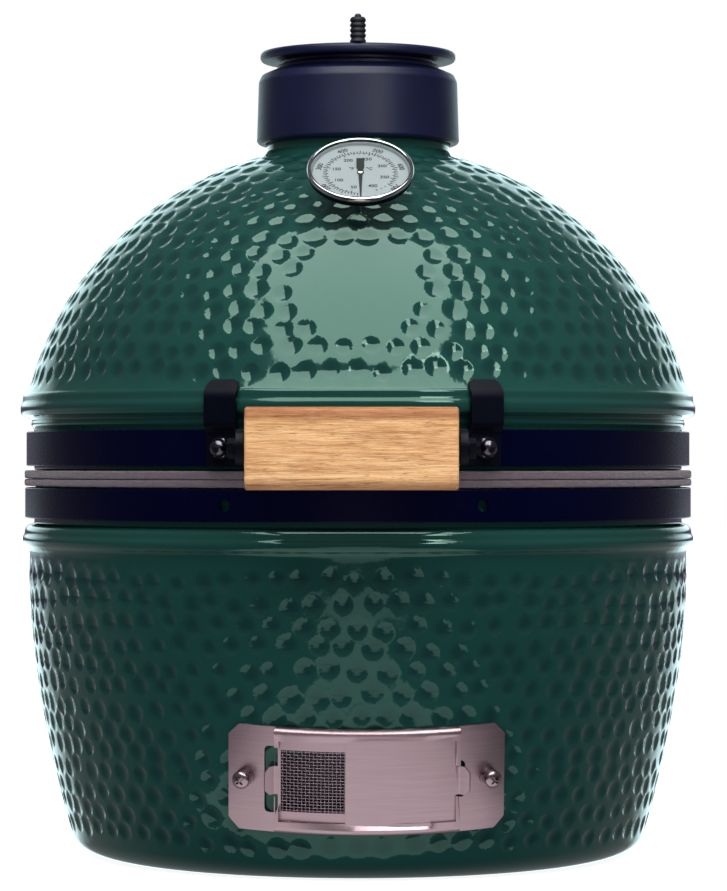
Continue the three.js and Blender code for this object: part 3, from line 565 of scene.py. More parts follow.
def wood():
    """Light hardwood: its grain and pores run along X, and its top and bottom edges carry painted shade."""
    paint = Paint("light_hardwood", Specular_IOR_Level=0.12)
    broad = paint.noise(1.0, 4, 0.6, 0.4, paint.stretched(7, 90, 90))
    grain = paint.noise(1.0, 6, 0.7, 0.3, paint.stretched(22, 620, 620))
    fine = paint.noise(1.0, 4, 0.75, vector=paint.stretched(60, 2400, 2400))
    pores = paint.noise(1.0, 2, 0.8, vector=paint.stretched(130, 2100, 2100))
    base = paint.ramp(broad, (0.3, rgb(166, 110, 64)), (0.5, rgb(203, 150, 98)), (0.7, rgb(226, 180, 128)))
    lined = paint.blend(paint.span(grain, 0.0, 0.9, 0.45, 0.66), base, (*rgb(150, 94, 54), 1))
    pale = paint.blend(paint.span(fine, 0.75, 0.0, 0.3, 0.55), lined, (*rgb(240, 202, 154), 1))
    pored = paint.blend(paint.span(pores, 0.0, 0.7, 0.58, 0.69), pale, (*rgb(110, 66, 36), 1))
    # Painted shade: a darker band along the grip's rounded top and bottom edges, where they turn away from
    # the light.
    height = paint.node("SeparateXYZ", {0: paint.where}).outputs["Z"]
    above = paint.maths("SUBTRACT", height, HANDLE["z"] * MM)
    waver = paint.span(broad, -0.0012, 0.0012)
    top = paint.span(paint.maths("ADD", above, waver), 0.0, 0.95, 0.014, 0.017)
    foot = paint.span(paint.maths("SUBTRACT", waver, above), 0.0, 0.7, 0.016, 0.0195)
    painted_edge_shade = paint.maths("MAXIMUM", top, foot)
    paint.set("Base Color", paint.blend(painted_edge_shade, pored, (0.5, 0.38, 0.33, 1), "MULTIPLY"))
    paint.set("Roughness", paint.span(fine, 0.42, 0.62))
    paint.bump(paint.maths("SUBTRACT", grain, pores), 0.0001, 0.6)
    return paint.material


def rubber():
    tones = (0.3, rgb(5, 6, 18)), (0.7, rgb(10, 11, 24))
    return coat("silicone", 0.4, (1500, 2), tones, (0.5, 0.7), (0.00005, 0.5))


def dial_face():
    tones = (0.3, rgb(138, 141, 144)), (0.7, rgb(146, 149, 151))
    return coat("dial_face", 0.4, (2500, 2), tones, (0.45, 0.6))


def ink(name, grey):
    tones = (0.3, rgb(grey, grey, grey)), (0.7, rgb(grey + 14, grey + 14, grey + 16))
    return coat(name, 0.3, (3000, 2), tones, (0.4, 0.6))


def lens_glass():
    """Thin clear glass: see-through, with a mirror part that grows towards the edge."""
    paint = Paint("lens_glass")
    clear = paint.node("BsdfTransparent", {"Color": (0.97, 0.99, 0.98, 1)})
    shine = paint.node("BsdfGlossy", {"Roughness": 0.03})
    facing = paint.node("LayerWeight", {"Blend": 0.5}).outputs["Facing"]
    share = paint.span(paint.maths("POWER", facing, 5.0), 0.04, 0.9)
    mix = paint.node("MixShader", {0: share, 1: clear.outputs[0], 2: shine.outputs[0]})
    output = paint.tree.nodes["Material Output"]
    paint.tree.links.new(mix.outputs[0], output.inputs["Surface"])
    paint.tree.nodes.remove(paint.shader)
    return paint.material


def pale_floor():
    paint = Paint("pale_floor", Specular_IOR_Level=0.1)
    tone = paint.noise(3, 2)
    paint.set("Base Color", paint.ramp(tone, (0.3, rgb(238, 239, 240)), (0.7, rgb(243, 244, 244))))
    paint.set("Roughness", 0.9)
    paint.set("Emission Color", (1, 1, 1, 1))
    paint.set("Emission Strength", 0.9)
    return paint.material


GLAZE = glaze()
BISQUE = bisque()
FIRECLAY = fireclay()
IRON = cast_iron()
BAND = band_paint()
BRACKET = bracket_paint()
FELT = felt()
WOOD = wood()
RUBBER = rubber()
DOOR_STEEL = steel("door_steel", (166, 142, 149), (184, 160, 166), 0.36, (30, 30, 1600), 0.000004)
SHEET_STEEL = steel("turned_steel", (150, 146, 150), (196, 192, 194), 0.26, (300, 300, 2600))
SCREW_STEEL = steel("screw_steel", (140, 122, 130), (176, 158, 164), 0.24, (900, 900, 900))
DARK_CHROME = steel("dark_chrome", (74, 72, 82), (104, 100, 110), 0.2, (900, 900, 900))
CHROME = steel("bright_steel", (172, 170, 174), (206, 204, 206), 0.12, (200, 200, 1500), 0.000004)
ZINC = steel("plated_fastener", (132, 128, 132), (176, 172, 174), 0.3, (900, 900, 900))
SPRING = steel("spring_wire", (120, 118, 120), (160, 158, 160), 0.28, (1500, 1500, 1500))
GRID_STEEL = steel("grid_steel", (140, 138, 138), (186, 184, 182), 0.25, (700, 30, 700))
MESH_STEEL = steel("mesh_wire", (128, 112, 122), (172, 154, 164), 0.3, (1800, 1800, 1800))
DIAL = dial_face()
PRINT = ink("dial_print", 6)
POINTER = ink("pointer_black", 12)
LENS = lens_glass()


# ---------------------------------------------------------------- ceramics
def track_of(profile):
    """Arc length, radius, height, outward normal and conformal height along a dense profile."""
    points = np.array(profile, float)
    steps = np.linalg.norm(np.diff(points, axis=0), axis=1)
    middle = (points[1:, 0] + points[:-1, 0]) / 2
    ahead = np.gradient(points, axis=0)
    ahead /= np.linalg.norm(ahead, axis=1)[:, None]
    return {
        "s": np.concatenate([[0], np.cumsum(steps)]),
        "v": np.concatenate([[0], np.cumsum(steps / middle)]),
        "r": points[:, 0],
        "z": points[:, 1],
        "out": ahead[:, 1],
        "up": -ahead[:, 0],
    }


def at(track, key, s):
    return np.interp(s, track["s"], track[key])


def on_shell(track, phi, s, depth=0.0):
    """Points on the profile's surface of revolution, sunk along its normal."""
    radius = at(track, "r", s) - depth * at(track, "out", s)
    height = at(track, "z", s) - depth * at(track, "up", s)
    return np.stack([radius * np.sin(phi), -radius * np.cos(phi), height], -1)


def dimple_centres(track, plain):
    """Staggered rows of dimples as (angle, arc length, radius). plain says where there are none."""
    margin = DIMPLE_R + DIMPLE_MARGIN
    usable = track["s"][-1] - 2 * margin
    rows = round(usable / (DIMPLE_SPACING * DIMPLE_ROW_PITCH))
    centres = []
    count = 0
    for row in range(rows + 1):
        s = margin + usable * row / rows
        fitting = 2 * math.pi * at(track, "r", s) / DIMPLE_SPACING
        if abs(count / fitting - 1) > 0.05:
            count = round(fitting)
        for i in range(count):
            phi = 2 * math.pi * (i + 0.5 * (row % 2)) / count
            drift = 1.5 * math.sin(5 * phi + 1.7 * row) + chance.normal(0, 1.1)
            place = s + np.clip(drift, -DIMPLE_DRIFT, DIMPLE_DRIFT)
            phi += np.clip(chance.normal(0, 1.3), -2.2, 2.2) / at(track, "r", s)
            if not plain(phi, at(track, "r", s), at(track, "z", s)):
                centres.append((phi, place, DIMPLE_R * chance.uniform(0.84, 1.1)))
    return np.array(centres)


def dimple_points(track, centres):
    """Mesh points in rings about each dimple, with the number of the dimple that they belong to."""
    found = []
    for number, (share, count) in enumerate(DIMPLE_RINGS):
        for i in range(count):
            angle = 2 * math.pi * (i + 0.5 * (number % 2)) / count
            s = centres[:, 1] + share * centres[:, 2] * math.sin(angle)
            phi = centres[:, 0] + share * centres[:, 2] * math.cos(angle) / at(track, "r", s)
            found.append(np.stack([phi, s, np.arange(len(centres))], 1))
    return np.concatenate(found)


def filler_points(track, spacing):
    """An even lattice that carries the smooth stretches between and beyond the dimples."""
    found = []
    rows = round(track["s"][-1] / spacing)
    for row in range(1, rows):
        s = track["s"][-1] * row / rows
        count = round(2 * math.pi * at(track, "r", s) / spacing)
        found.extend((2 * math.pi * (i + 0.5 * (row % 2)) / count, s, -1) for i in range(count))
    return np.array(found)


def dimple_shares(track, centres, points):
    """For each point, its distance from the nearest dimples' centres as a share of their radius."""
    middles = on_shell(track, centres[:, 0], centres[:, 1])
    tree = KDTree(len(middles))
    for i, middle in enumerate(middles):
        tree.insert(middle, i)
    tree.balance()
    nearest = np.full(len(points), 9.0)
    owner = np.full(len(points), -1)
    for i, place in enumerate(on_shell(track, points[:, 0], points[:, 1])):
        for _, index, distance in tree.find_n(place, 3):
            share = distance / centres[index, 2]
            if share < nearest[i]:
                nearest[i] = share
                owner[i] = index
    return nearest, owner


def dimpled_zone(track, columns, plain):
    """The dimpled stretch of a shell: points, sink depths, triangles, and its lowest and highest row."""
    centres = dimple_centres(track, plain)
    rings = dimple_points(track, centres)
    filler = filler_points(track, FILLER_SPACING)
    points = np.concatenate([rings, filler])
    clear = 1.0
    points = points[(points[:, 1] > clear) & (points[:, 1] < track["s"][-1] - clear)]
    share, owner = dimple_shares(track, centres, points)
    is_filler = points[:, 2] < 0
    keep = np.where(is_filler, share > 1.35, owner == points[:, 2])
    points, share = points[keep], share[keep]
    edge = [2 * math.pi * i / columns for i in range(columns)]
    length = track["s"][-1]
    borders = np.array([(phi, s, -1) for s in (0.0, length) for phi in edge])
    points = np.concatenate([borders, points])
    share = np.concatenate([np.full(len(borders), 9.0), share])
    sink = np.clip(1 - share**2, 0, None)
    phi = points[:, 0] % (2 * math.pi)
    triangles = wrapped_triangles(phi, at(track, "v", points[:, 1]))
    return phi, points[:, 1], sink, triangles


def wrapped_triangles(phi, v):
    """Delaunay triangles of points on a cylinder, where the angle phi wraps round."""
    turn = 2 * math.pi
    margin = 0.6
    number = np.arange(len(phi))
    low, high = phi < margin, phi > turn - margin
    across = np.concatenate([phi, phi[low] + turn, phi[high] - turn])
    height = np.concatenate([v, v[low], v[high]])
    origin = np.concatenate([number, number[low], number[high]])
    flat = [Vector(p) for p in zip(across, height)]
    corners, _, faces, sources, _, _ = delaunay_2d_cdt(flat, [], [], 0, 1e-9)
    triangles = []
    for face in faces:
        middle = sum(corners[i].x for i in face) / 3
        if 0 <= middle < turn:
            triangles.append([int(origin[sources[i][0]]) for i in face])
    return triangles


def dimpled_shell(zone, rest, bare_from, plain=lambda phi, r, z: False, columns=240):
    """A glazed shell: its dimpled zone, then the rest of its outline from the zone's end back to its start.

    Faces from the outline point number bare_from[0] to bare_from[1] take the bare ceramic.
    """
    track = track_of(zone)
    phi, s, sink, triangles = dimpled_zone(track, columns, plain)
    vertices = [tuple(p) for p in on_shell(track, phi, s, DIMPLE_DEPTH * sink)]
    added, rows = ring_rows(rest, columns, len(vertices))
    faces = [list(t) for t in triangles]
    bare = [False] * len(faces)
    loop = [list(range(columns, 2 * columns))] + rows + [list(range(columns))]
    for number, (low, high) in enumerate(zip(loop, loop[1:])):
        strip = ring_faces(low, high)
        faces.extend(strip)
        bare.extend([bare_from[0] <= number < bare_from[1]] * len(strip))
    mesh = bpy.data.meshes.new("shell")
    mesh.from_pydata(vertices + added, [], faces)
    mesh.materials.append(GLAZE)
    mesh.materials.append(BISQUE)
    mesh.polygons.foreach_set("material_index", np.array(bare, np.int32))
    hollow = mesh.attributes.new("hollow", "FLOAT", "POINT")
    hollow.data.foreach_set("value", np.concatenate([sink, np.zeros(len(added))]).astype(np.float32))
    return mesh


def base_shell():
    zone = bezier(((171, 12), (195, 94.7), (196.4, 165)), 400) + bezier(((196.4, 166), (196.2, 177)), 40)
    roll = BASE_FLANGE_R
    flange = [(196.3, 181.6), (roll - 1.0, 184.2), (roll, 185.8), (roll, 188.3), (roll - 1.2, 190.3),
              (roll - 1.4, 193.2), (roll - 3.4, 195.6), (RIM_R, 196.2), (RIM_R, BASE_RIM_Z),
              (RIM_INNER_R, BASE_RIM_Z)]
    outside = rounded([zone[-1]] + flange + [(RIM_INNER_R, 190)], 1.6, 5, closed=False)[1:]
    inside = bezier(((RIM_INNER_R, 165), (171, 95), (150, 42)), 12)
    inside += bezier(((150, 42), (142, FLOOR_Z), (118, FLOOR_Z)), 8)[1:] + [(60, FLOOR_Z), (0, FLOOR_Z)]
    foot = [(0, 0.0), (70, 0.0), (143, 0.0)] + bezier(((143, 0), (166, 0), zone[0]), 14)[1:-1]
    rest = outside + inside + foot
    bare_start = len(outside) - 9
    shell = dimpled_shell(zone, rest, (bare_start, len(outside) + len(inside)))
    low, high = zip(*(PORT[axis] for axis in "xyz"))
    opened = cut(shell, box(low, high))
    add("glazed_base", opened, "base", "green_glaze", GLAZE, ["base_shell"], degrees=50)


def on_badge(phi, radius, z):
    """True on the plain patch at the front of the dome."""
    across = radius * math.remainder(phi, 2 * math.pi) / SMOOTH_PATCH["half_x"]
    along = (z - SMOOTH_PATCH["z"]) / SMOOTH_PATCH["half_z"]
    power = SMOOTH_PATCH["power"]
    return abs(across) ** power + abs(along) ** power < 1


def dome_shell():
    side = bezier(((195.4, 279), (177.5, 347.8), (119, 399), (60, 414.5)), 500)
    zone = bezier(((198.0, 274.0), (195.7, 277.9), (194.3, 283.0)), 40) + [p for p in side if p[1] > 283.2]
    neck = [(55, 418), (NECK_R, 422), (NECK_R, NECK_TOP_Z), (FLUE_R, NECK_TOP_Z), (FLUE_R, 420)]
    top = rounded([zone[-1]] + neck, 1.5, 4, closed=False)[1:]
    inside = [(FLUE_R, 400)] + bezier(((FLUE_R, 400), (100, 382), (160, 330), (RIM_INNER_R, 262)), 16)[1:]
    flange = [(RIM_INNER_R, 240), (RIM_INNER_R, DOME_RIM_Z), (RIM_R, DOME_RIM_Z), (RIM_R, 252), (195.4, 255),
              (194.3, 258), (DOME_FLANGE_R - 0.8, 260.3), (DOME_FLANGE_R, 262.5), (DOME_FLANGE_R, 265.8),
              (DOME_FLANGE_R - 1.2, 268.0), (DOME_FLANGE_R - 1.5, 272.2)]
    bottom = rounded(flange + [zone[0]], 1.3, 5, closed=False)[:-1]
    rest = top + inside + bottom
    bare_start = len(top) - 6
    shell = dimpled_shell(zone, rest, (bare_start, len(top) + len(inside) + 8), on_badge)
    add("glazed_dome", shell, "lid", "green_glaze", GLAZE, ["dome_shell"], degrees=50)


def gasket(name):
    """A felt ring with a slightly uneven, fibrous face."""
    low, high = GASKETS[name]
    inner, outer = GASKET_R
    outline = rounded(rectangle(inner, low, outer, high), 1.1, 3)
    mesh = turned(outline, 3 * ROUND)
    for vertex in mesh.vertices:
        radius = math.hypot(vertex.co.x, vertex.co.y)
        if radius > outer - 2:
            vertex.co.xy *= 1 - chance.uniform(0, 0.35) / radius
            vertex.co.z += chance.uniform(-0.08, 0.08)
    return mesh


def fire_box():
    outer = [(78, 25), (108, 25)] + bezier(((108, 25), (140, 40), (148, 150)), 14)[1:]
    inner = bezier(((134, 150), (128, 100), (92, 83)), 12) + [(92, 75), (78, 75)]
    bowl = turned(rounded(outer + inner, 1.6, 3), 144)
    notch = box((-48, -160, 20), (48, -60, 72))
    holes = []
    for angle in (60, 120, 180, 240, 300):
        holes.append(moved(prism(circle(7, 24), 60, 170), spin("X", 90), shift(0, 0, 50), spin("Z", angle)))
    return soften(cut(bowl, notch, *holes), 0.7, 50)


def fire_ring():
    outline = [(136, 150.3), (150, 150.3), (158, 166), (158, 204), (138, 204), (138, 166)]
    return turned(rounded(outline, 3, 4), 144)


def fire_grate():
    plate = turned(rounded([(0, 75.3), (89, 75.3), (89, 82), (0, 82)], 1.5, 3, closed=False), 96)
    places = [(0, 0)] + [(28, 72 * i) for i in range(5)] + [(62, 36 * i + 18) for i in range(10)]
    holes = [moved(prism(circle(7, 20), 73, 84), shift(r, 0, 0), spin("Z", angle)) for r, angle in places]
    return soften(cut(plate, *holes), 0.8, 50)


def cooking_grid():
    """A round rim and parallel bars on two cross bars, all of round wire."""
    low, high = (v * 1000 for v in (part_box("cooking_grid")[0].z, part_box("cooking_grid")[1].z))
    radius, wire, bars = 163, (high - low) / 2, 13
    middle = (low + high) / 2
    rim = [(x, y, middle) for x, y in circle(radius - wire, ROUND)]
    parts = [tube(rim, wire, 12, closed=True)]
    pitch = 2 * radius / (bars + 1)
    for i in range(bars):
        x = (i - (bars - 1) / 2) * pitch
        half = math.sqrt((radius - wire) ** 2 - x**2)
        parts.append(tube([(x, -half, middle + 0.4), (x, 0, middle + 0.4), (x, half, middle + 0.4)], 2, 12))
    for y in (-62, 62):
        half = math.sqrt((radius - wire) ** 2 - y**2)
        parts.append(tube([(-half, y, middle - 0.9), (0, y, middle - 0.9), (half, y, middle - 0.9)], 1.6, 12))
    return merged(parts)


def add_ceramics():
    base_shell()
    dome_shell()
    add("base_felt", gasket("base"), "base", "felt", FELT, ["base_gasket"])
    add("dome_felt", gasket("dome"), "lid", "felt", FELT, ["dome_gasket"])
    add("fire_bowl", fire_box(), "base", "fireclay", FIRECLAY, ["fire_box"])
    add("fire_collar", fire_ring(), "base", "fireclay", FIRECLAY, ["fire_ring"])
    add("charcoal_grate", fire_grate(), "base", "cast_iron", IRON, ["fire_grate"])
    add("wire_grid", cooking_grid(), "grid", "grid_steel", GRID_STEEL, ["cooking_grid"])


# ---------------------------------------------------------------- bolts and nuts, along their own +Z
def hex_nut(across, low, high, bore=0.0):
    """A hexagon with chamfered corners, across its corners."""
    outline = circle(across, 6)
    mesh = prism(outline, low, high)
    crown = turned([(0, low), (across * 0.9, low), (across * 1.02, low + 0.6), (across * 1.02, high - 0.6),
                    (across * 0.9, high), (0, high)], SMALL)
    mesh = combine(mesh, [crown], "INTERSECT")
    if bore:
        mesh = cut(mesh, prism(circle(bore, SMALL), low - 1, high + 1))
    return soften(mesh, 0.25, 25)


def threaded(radius, low, high, pitch=0.8):
    """A shank with rings for its thread and a chamfered end."""
    profile = [(0, low), (radius - 0.5, low)]
    z = low + 0.4
    while z < high - 0.4:
        profile += [(radius, z + pitch * 0.25), (radius - 0.28, z + pitch * 0.75)]
        z += pitch
    return turned(profile + [(radius - 0.5, high), (0, high)], SMALL)


def pan_head(radius, low, height):
    """A domed screw head with a cross recess."""
    dome = bezier(((radius, low + height * 0.35), (radius * 0.9, low + height), (0, low + height)), 10)
    head = turned([(0, low), (radius, low)] + dome, SMALL)
    depth = low + height * 0.42
    slots = []
    for angle in (45, 135):
        outline = rounded(rectangle(-radius * 0.52, -0.55, radius * 0.52, 0.55), 0.4, 3)
        slots.append(moved(prism(outline, depth, low + height + 1), spin("Z", angle)))
    return soften(cut(head, *slots), 0.12, 45)


def washer(inner, outer, low, high, bevel=0.3):
    return turned(rounded(rectangle(inner, low, outer, high), bevel, 2), SMALL)


# ---------------------------------------------------------------- bands
def band(size):
    """A painted hoop with a rounded edge, open at the back, where its ends turn out as bolted ears."""
    middle = size["outer"] - BAND_THICK / 2
    start = math.asin(BAND_EAR_X / middle)
    sweep = [start + (2 * math.pi - 2 * start) * i / ROUND for i in range(ROUND + 1)]
    hoop = [(middle * math.sin(a), middle * math.cos(a)) for a in sweep]
    ears = [(BAND_EAR_X, BAND_EAR_Y), (BAND_EAR_X, hoop[0][1] + 3)]
    bend_in = bezier((ears[1], hoop[0], hoop[1]), 5)
    bend_out = [(-x, y) for x, y in reversed(bend_in)]
    path = [ears[0]] + bend_in + hoop[2:-2] + bend_out + [(-BAND_EAR_X, BAND_EAR_Y)]
    half = BAND_THICK / 2
    section = rounded(rectangle(-half, size["low"], half, size["high"]), 0.7, 3)
    return ribbon(path, section)


def clamp_bolt(side, z):
    """A hex bolt through a band ear and the hinge bracket's ear, with its nut outside."""
    parts = [threaded(2.5, 28, 47.5), hex_nut(4.2, 26.8, 29.7)]
    return moved(merged(parts), spin("Y", 90 * side), shift(0, CLAMP_Y, z))


def clamp_nut(side, z):
    return moved(hex_nut(4.6, 41.3, 45.3), spin("Y", 90 * side), shift(0, CLAMP_Y, z))


def front_holes(size, z):
    """Round holes through the front of a band where the handle's brackets sit."""
    holes = []
    for side in (-1, 1):
        hole = prism(circle(3.4, SMALL), size["outer"] - 9, size["outer"] + 5)
        turn = spin("Z", HANDLE_YAW + side * BRACKET_AZIMUTH)
        holes.append(moved(hole, spin("X", 90), shift(0, 0, z), turn))
    return holes


def add_bands():
    for name, body in (("upper", "lid"), ("lower", "base")):
        size = BANDS[name]
        middle = (size["low"] + size["high"]) / 2
        mesh = soften(cut(band(size), *front_holes(size, STUD_Z if name == "upper" else middle)), 0.3, 50)
        add(name + "_hoop", mesh, body, "black_steel", BAND, [name + "_band"])
        for hand, side in HANDS:
            bolt = f"{name}_clamp_bolt_{hand}"
            nut = f"{name}_clamp_nut_{hand}"
            add(f"{name}_ear_bolt_{hand}", clamp_bolt(side, middle), body, "fastener", ZINC, [bolt])
            add(f"{name}_ear_nut_{hand}", clamp_nut(side, middle), body, "fastener", ZINC, [nut])


# ---------------------------------------------------------------- hinge
def side_plate(outline, width):
    """An outline in (distance to the back, z), made solid across X."""
    plate = prism(outline, -width / 2, width / 2, 0.5)
    frame_of = Matrix(((0, 0, 1, 0), (1, 0, 0, 0), (0, 1, 0, 0), (0, 0, 0, 1)))
    return moved(plate, frame_of)


def at_pin(mesh):
    """A mesh along +Z laid along the hinge pin."""
    return moved(mesh, spin("Y", 90), shift(0, HINGE["y"], HINGE["z"]))


def hinge_bracket(size, lug, outline):
    """The curved plate that closes a band, its two bolted ears, and two lugs with eyes for the pin."""
    reach = 33
    middle = size["outer"] - BAND_THICK / 2
    spread = math.asin((reach - 1.5) / middle)
    arc = [(middle * math.sin(a), middle * math.cos(a)) for a in np.linspace(-spread, spread, 40)]
    bend = bezier((arc[2], arc[0], (-reach + 1.5, arc[0][1] + 3)), 5)
    left = [(-reach + 1.5, BAND_EAR_Y)] + list(reversed(bend))
    path = left + arc[3:-3] + [(-x, y) for x, y in reversed(left)]
    section = rounded(rectangle(-1.5, size["low"], 1.5, size["high"]), 0.7, 3)
    pin_hole = at_pin(prism(circle(HINGE["pin"] + 0.1, SMALL), -40, 40))
    body = ribbon(path, section)
    for side in (-1, 1):
        centre = side * (lug[0] + lug[1]) / 2
        plate = moved(side_plate(outline, lug[1] - lug[0]), shift(centre, 0, 0))
        eye = at_pin(prism(circle(9, SMALL), centre - 2.5, centre + 2.5, 0.5))
        body = joined(joined(body, plate), eye)
    return cut(body, pin_hole)


def hinge_pin():
    profile = [(0, -24), (5.8, -24), (6.4, -23.4), (6.4, -21.4), (5.8, -20.8), (HINGE["pin"], -20.8),
               (HINGE["pin"], 26.2), (HINGE["pin"] - 0.8, 27), (0, 27)]
    return at_pin(turned(profile, SMALL))


def torsion_spring(side):
    """Four close turns of round wire about the pin."""
    turns, steps, coil = 4, 28, 6.4
    points = []
    for i in range(turns * steps + 1):
        angle = 2 * math.pi * i / steps
        x = side * (10.3 + 3.9 * i / (turns * steps))
        points.append((x, HINGE["y"] + coil * math.cos(angle), HINGE["z"] + coil * math.sin(angle)))
    return tube(points, 0.6, 10)


def add_hinge():
    upper, lower = BANDS["upper"], BANDS["lower"]
    y, z = HINGE["y"], HINGE["z"]
    upper_lug = [(upper["outer"] - 2, upper["low"]), (y - 7.5, z - 1), (y, z - 3), (y + 5, z + 7.4),
                 (y - 3, z + 10), (upper["outer"] - 2, upper["high"])]
    lower_lug = [(lower["outer"] - 2, lower["low"]), (y - 3, z - 10), (y + 5, z - 7.4), (y, z + 3),
                 (y - 8, z + 1), (lower["outer"] - 2, lower["high"])]
    add("upper_hinge_leaf", hinge_bracket(upper, (4, 9), upper_lug), "lid", "black_steel", BRACKET,
        ["hinge_upper_bracket"])
    add("lower_hinge_leaf", hinge_bracket(lower, (15.5, 20.5), lower_lug), "base", "black_steel", BRACKET,
        ["hinge_lower_bracket"])
    add("pin_of_hinge", hinge_pin(), "base", "fastener", ZINC, ["hinge_pin"])
    add("nut_of_hinge", at_pin(hex_nut(6.6, 20.8, 25)), "base", "fastener", ZINC, ["hinge_pin_nut"])
    for hand, side in HANDS:
        add("coil_spring_" + hand, torsion_spring(side), "base", "spring_steel", SPRING,
            ["hinge_spring_" + hand])


# ---------------------------------------------------------------- lift handle
def in_handle(mesh, azimuth=0.0):
    return moved(mesh, spin("Z", HANDLE_YAW + azimuth))


def handle_grip():
    """A bar of light wood with a squared, rounded section."""
    half, length = HANDLE["half"], HANDLE["length"]
    section = rounded(rectangle(-half, -half, half, half), HANDLE["corner"], 8)
    bar = prism(section, -length / 2, length / 2)
    bar = soften(bar, 1.4, 60, 3)
    return moved(bar, spin("Y", 90), shift(0, -HANDLE["reach"], HANDLE["z"]))


def front_plate(outline, width):
    """A side outline in (distance to the front, z), made solid across X."""
    plate = prism(outline, -width / 2, width / 2, 0.45)
    frame_of = Matrix(((0, 0, -1, 0), (-1, 0, 0, 0), (0, 1, 0, 0), (0, 0, 0, 1)))
    return moved(plate, frame_of)


def handle_bracket(side):
    """A strap on the band that clears the flange and leans back onto the dome, with an arm to the handle."""
    foot = BANDS["upper"]["outer"] + 0.3
    outer = [(foot + 3, 230.8), (foot + 3, 249.6), (205.3, 252.4), (205.3, 270.4), (199, 278.4)]
    inner = [(196.5, 276.8), (202.3, 269.4), (202.3, 253.8), (foot, 251.4), (foot, 230.8)]
    outline = rounded(outer, 2.5, 5, closed=False) + rounded(inner, 2.5, 5, closed=False)
    strap = moved(front_plate(outline, 19), spin("Z", side * BRACKET_AZIMUTH))
    width, top = 9.5, 278.4
    frame_shape = rounded([(-width, 215), (width, 215), (width, top + 0.6), (-width, top + 0.6)], 7, 8)
    keep = moved(prism(frame_shape, 180, 220), spin("X", 90), spin("Z", side * BRACKET_AZIMUTH))
    strap = soften(combine(strap, [keep], "INTERSECT"), 0.3, 50)
    low, high = sorted((side * ARM["inner"], side * ARM["outer"]))
    half = (ARM["high"] - ARM["low"]) / 2
    middle = (ARM["high"] + ARM["low"]) / 2
    reach = HANDLE["reach"]
    tip = [(reach + half * math.sin(a), middle - half * math.cos(a)) for a in np.linspace(0, math.pi, 17)]
    arm = front_plate([(194, ARM["low"])] + tip + [(194, ARM["high"])], high - low)
    arm = moved(arm, shift((low + high) / 2, 0, 0))
    web = front_plate([(foot, ARM["low"]), (foot + 3, ARM["low"]), (foot + 3, 249.8), (foot, 249.8)], 8)
    web = moved(web, shift(-side * 12, 0, 0), spin("Z", side * BRACKET_AZIMUTH))
    inside_band = turned([(0, 220), (foot, 220), (foot, 260), (0, 260)], ROUND)
    arm = cut(joined(arm, web), inside_band)
    return joined(strap, arm)


def handle_bolt(side):
    parts = [threaded(3, 58, 64), hex_nut(5.6, 62.1, 66.1), washer(3.2, 6.6, 61.8, 62.3, 0.15)]
    return moved(merged(parts), spin("Y", 90 * side), shift(0, -HANDLE["reach"], HANDLE["z"]))


def acorn_nut():
    """A hexagon with a polished domed crown."""
    seat = 201.6
    crown = bezier(((4.9, seat + 4.6), (4.7, 210.6), (0, 210.6)), 10)
    dome = turned([(0, seat + 3.4), (4.9, seat + 3.4)] + crown, SMALL)
    flange = turned([(0, seat), (6.4, seat), (6.2, seat + 0.8), (0, seat + 0.8)], SMALL)
    body = joined(hex_nut(5.9, seat + 0.3, seat + 4.2), dome)
    return moved(merged([body, flange]), spin("X", 90), shift(0, 0, STUD_Z))


def handle_stud():
    parts = [threaded(3, 194, 206.6), washer(1.0, 6, 193.6, 194.3, 0.2)]
    return moved(merged(parts), spin("X", 90), shift(0, 0, STUD_Z))


def add_handle():
    add("wooden_grip", in_handle(handle_grip()), "lid", "wood", WOOD, ["handle_grip"])
    for hand, side in HANDS:
        azimuth = side * BRACKET_AZIMUTH
        add("bracket_" + hand, in_handle(handle_bracket(side)), "lid", "black_steel", BRACKET,
            ["handle_bracket_" + hand])
        add("grip_bolt_" + hand, in_handle(handle_bolt(side)), "lid", "fastener", BRACKET,
            ["handle_bolt_" + hand])
        add("domed_nut_" + hand, in_handle(acorn_nut(), azimuth), "lid", "fastener", DARK_CHROME,
            ["acorn_nut_" + hand])
        add("stud_" + hand, in_handle(handle_stud(), azimuth), "lid", "fastener", ZINC,
            ["handle_stud_" + hand])


# ---------------------------------------------------------------- chimney cap
def cap_collar():
    top, seat = 470.2, NECK_TOP_Z + 0.5
    outside = [(55.4, 423), (59.2, 423), (60.6, 424.6), (59.5, 460), (57.6, 464.2), (51, 467), (48.4, 467.4),
               (48.4, top), (FLUE_R, top), (FLUE_R, seat), (55.4, seat)]
    body = turned(rounded(outside, 0.9, 4), TURNED)
    boss = moved(turned(rounded([(0, 458), (7, 458), (7, top), (0, top)], 0.6, 3, closed=False), SMALL),
                 shift(0, CAP_PIVOT_Y, 0))
    hole = moved(prism(circle(3.3, SMALL), 455, top + 2), shift(0, CAP_PIVOT_Y, 0))
    return cut(joined(body, boss), hole)


def vents(turn, low, high):
    """Five round vents on one circle."""
    tools = []
    for i in range(5):
        tools.append(moved(prism(circle(9, 32), low, high), shift(0, 26, 0), spin("Z", 72 * i + turn)))
    return tools


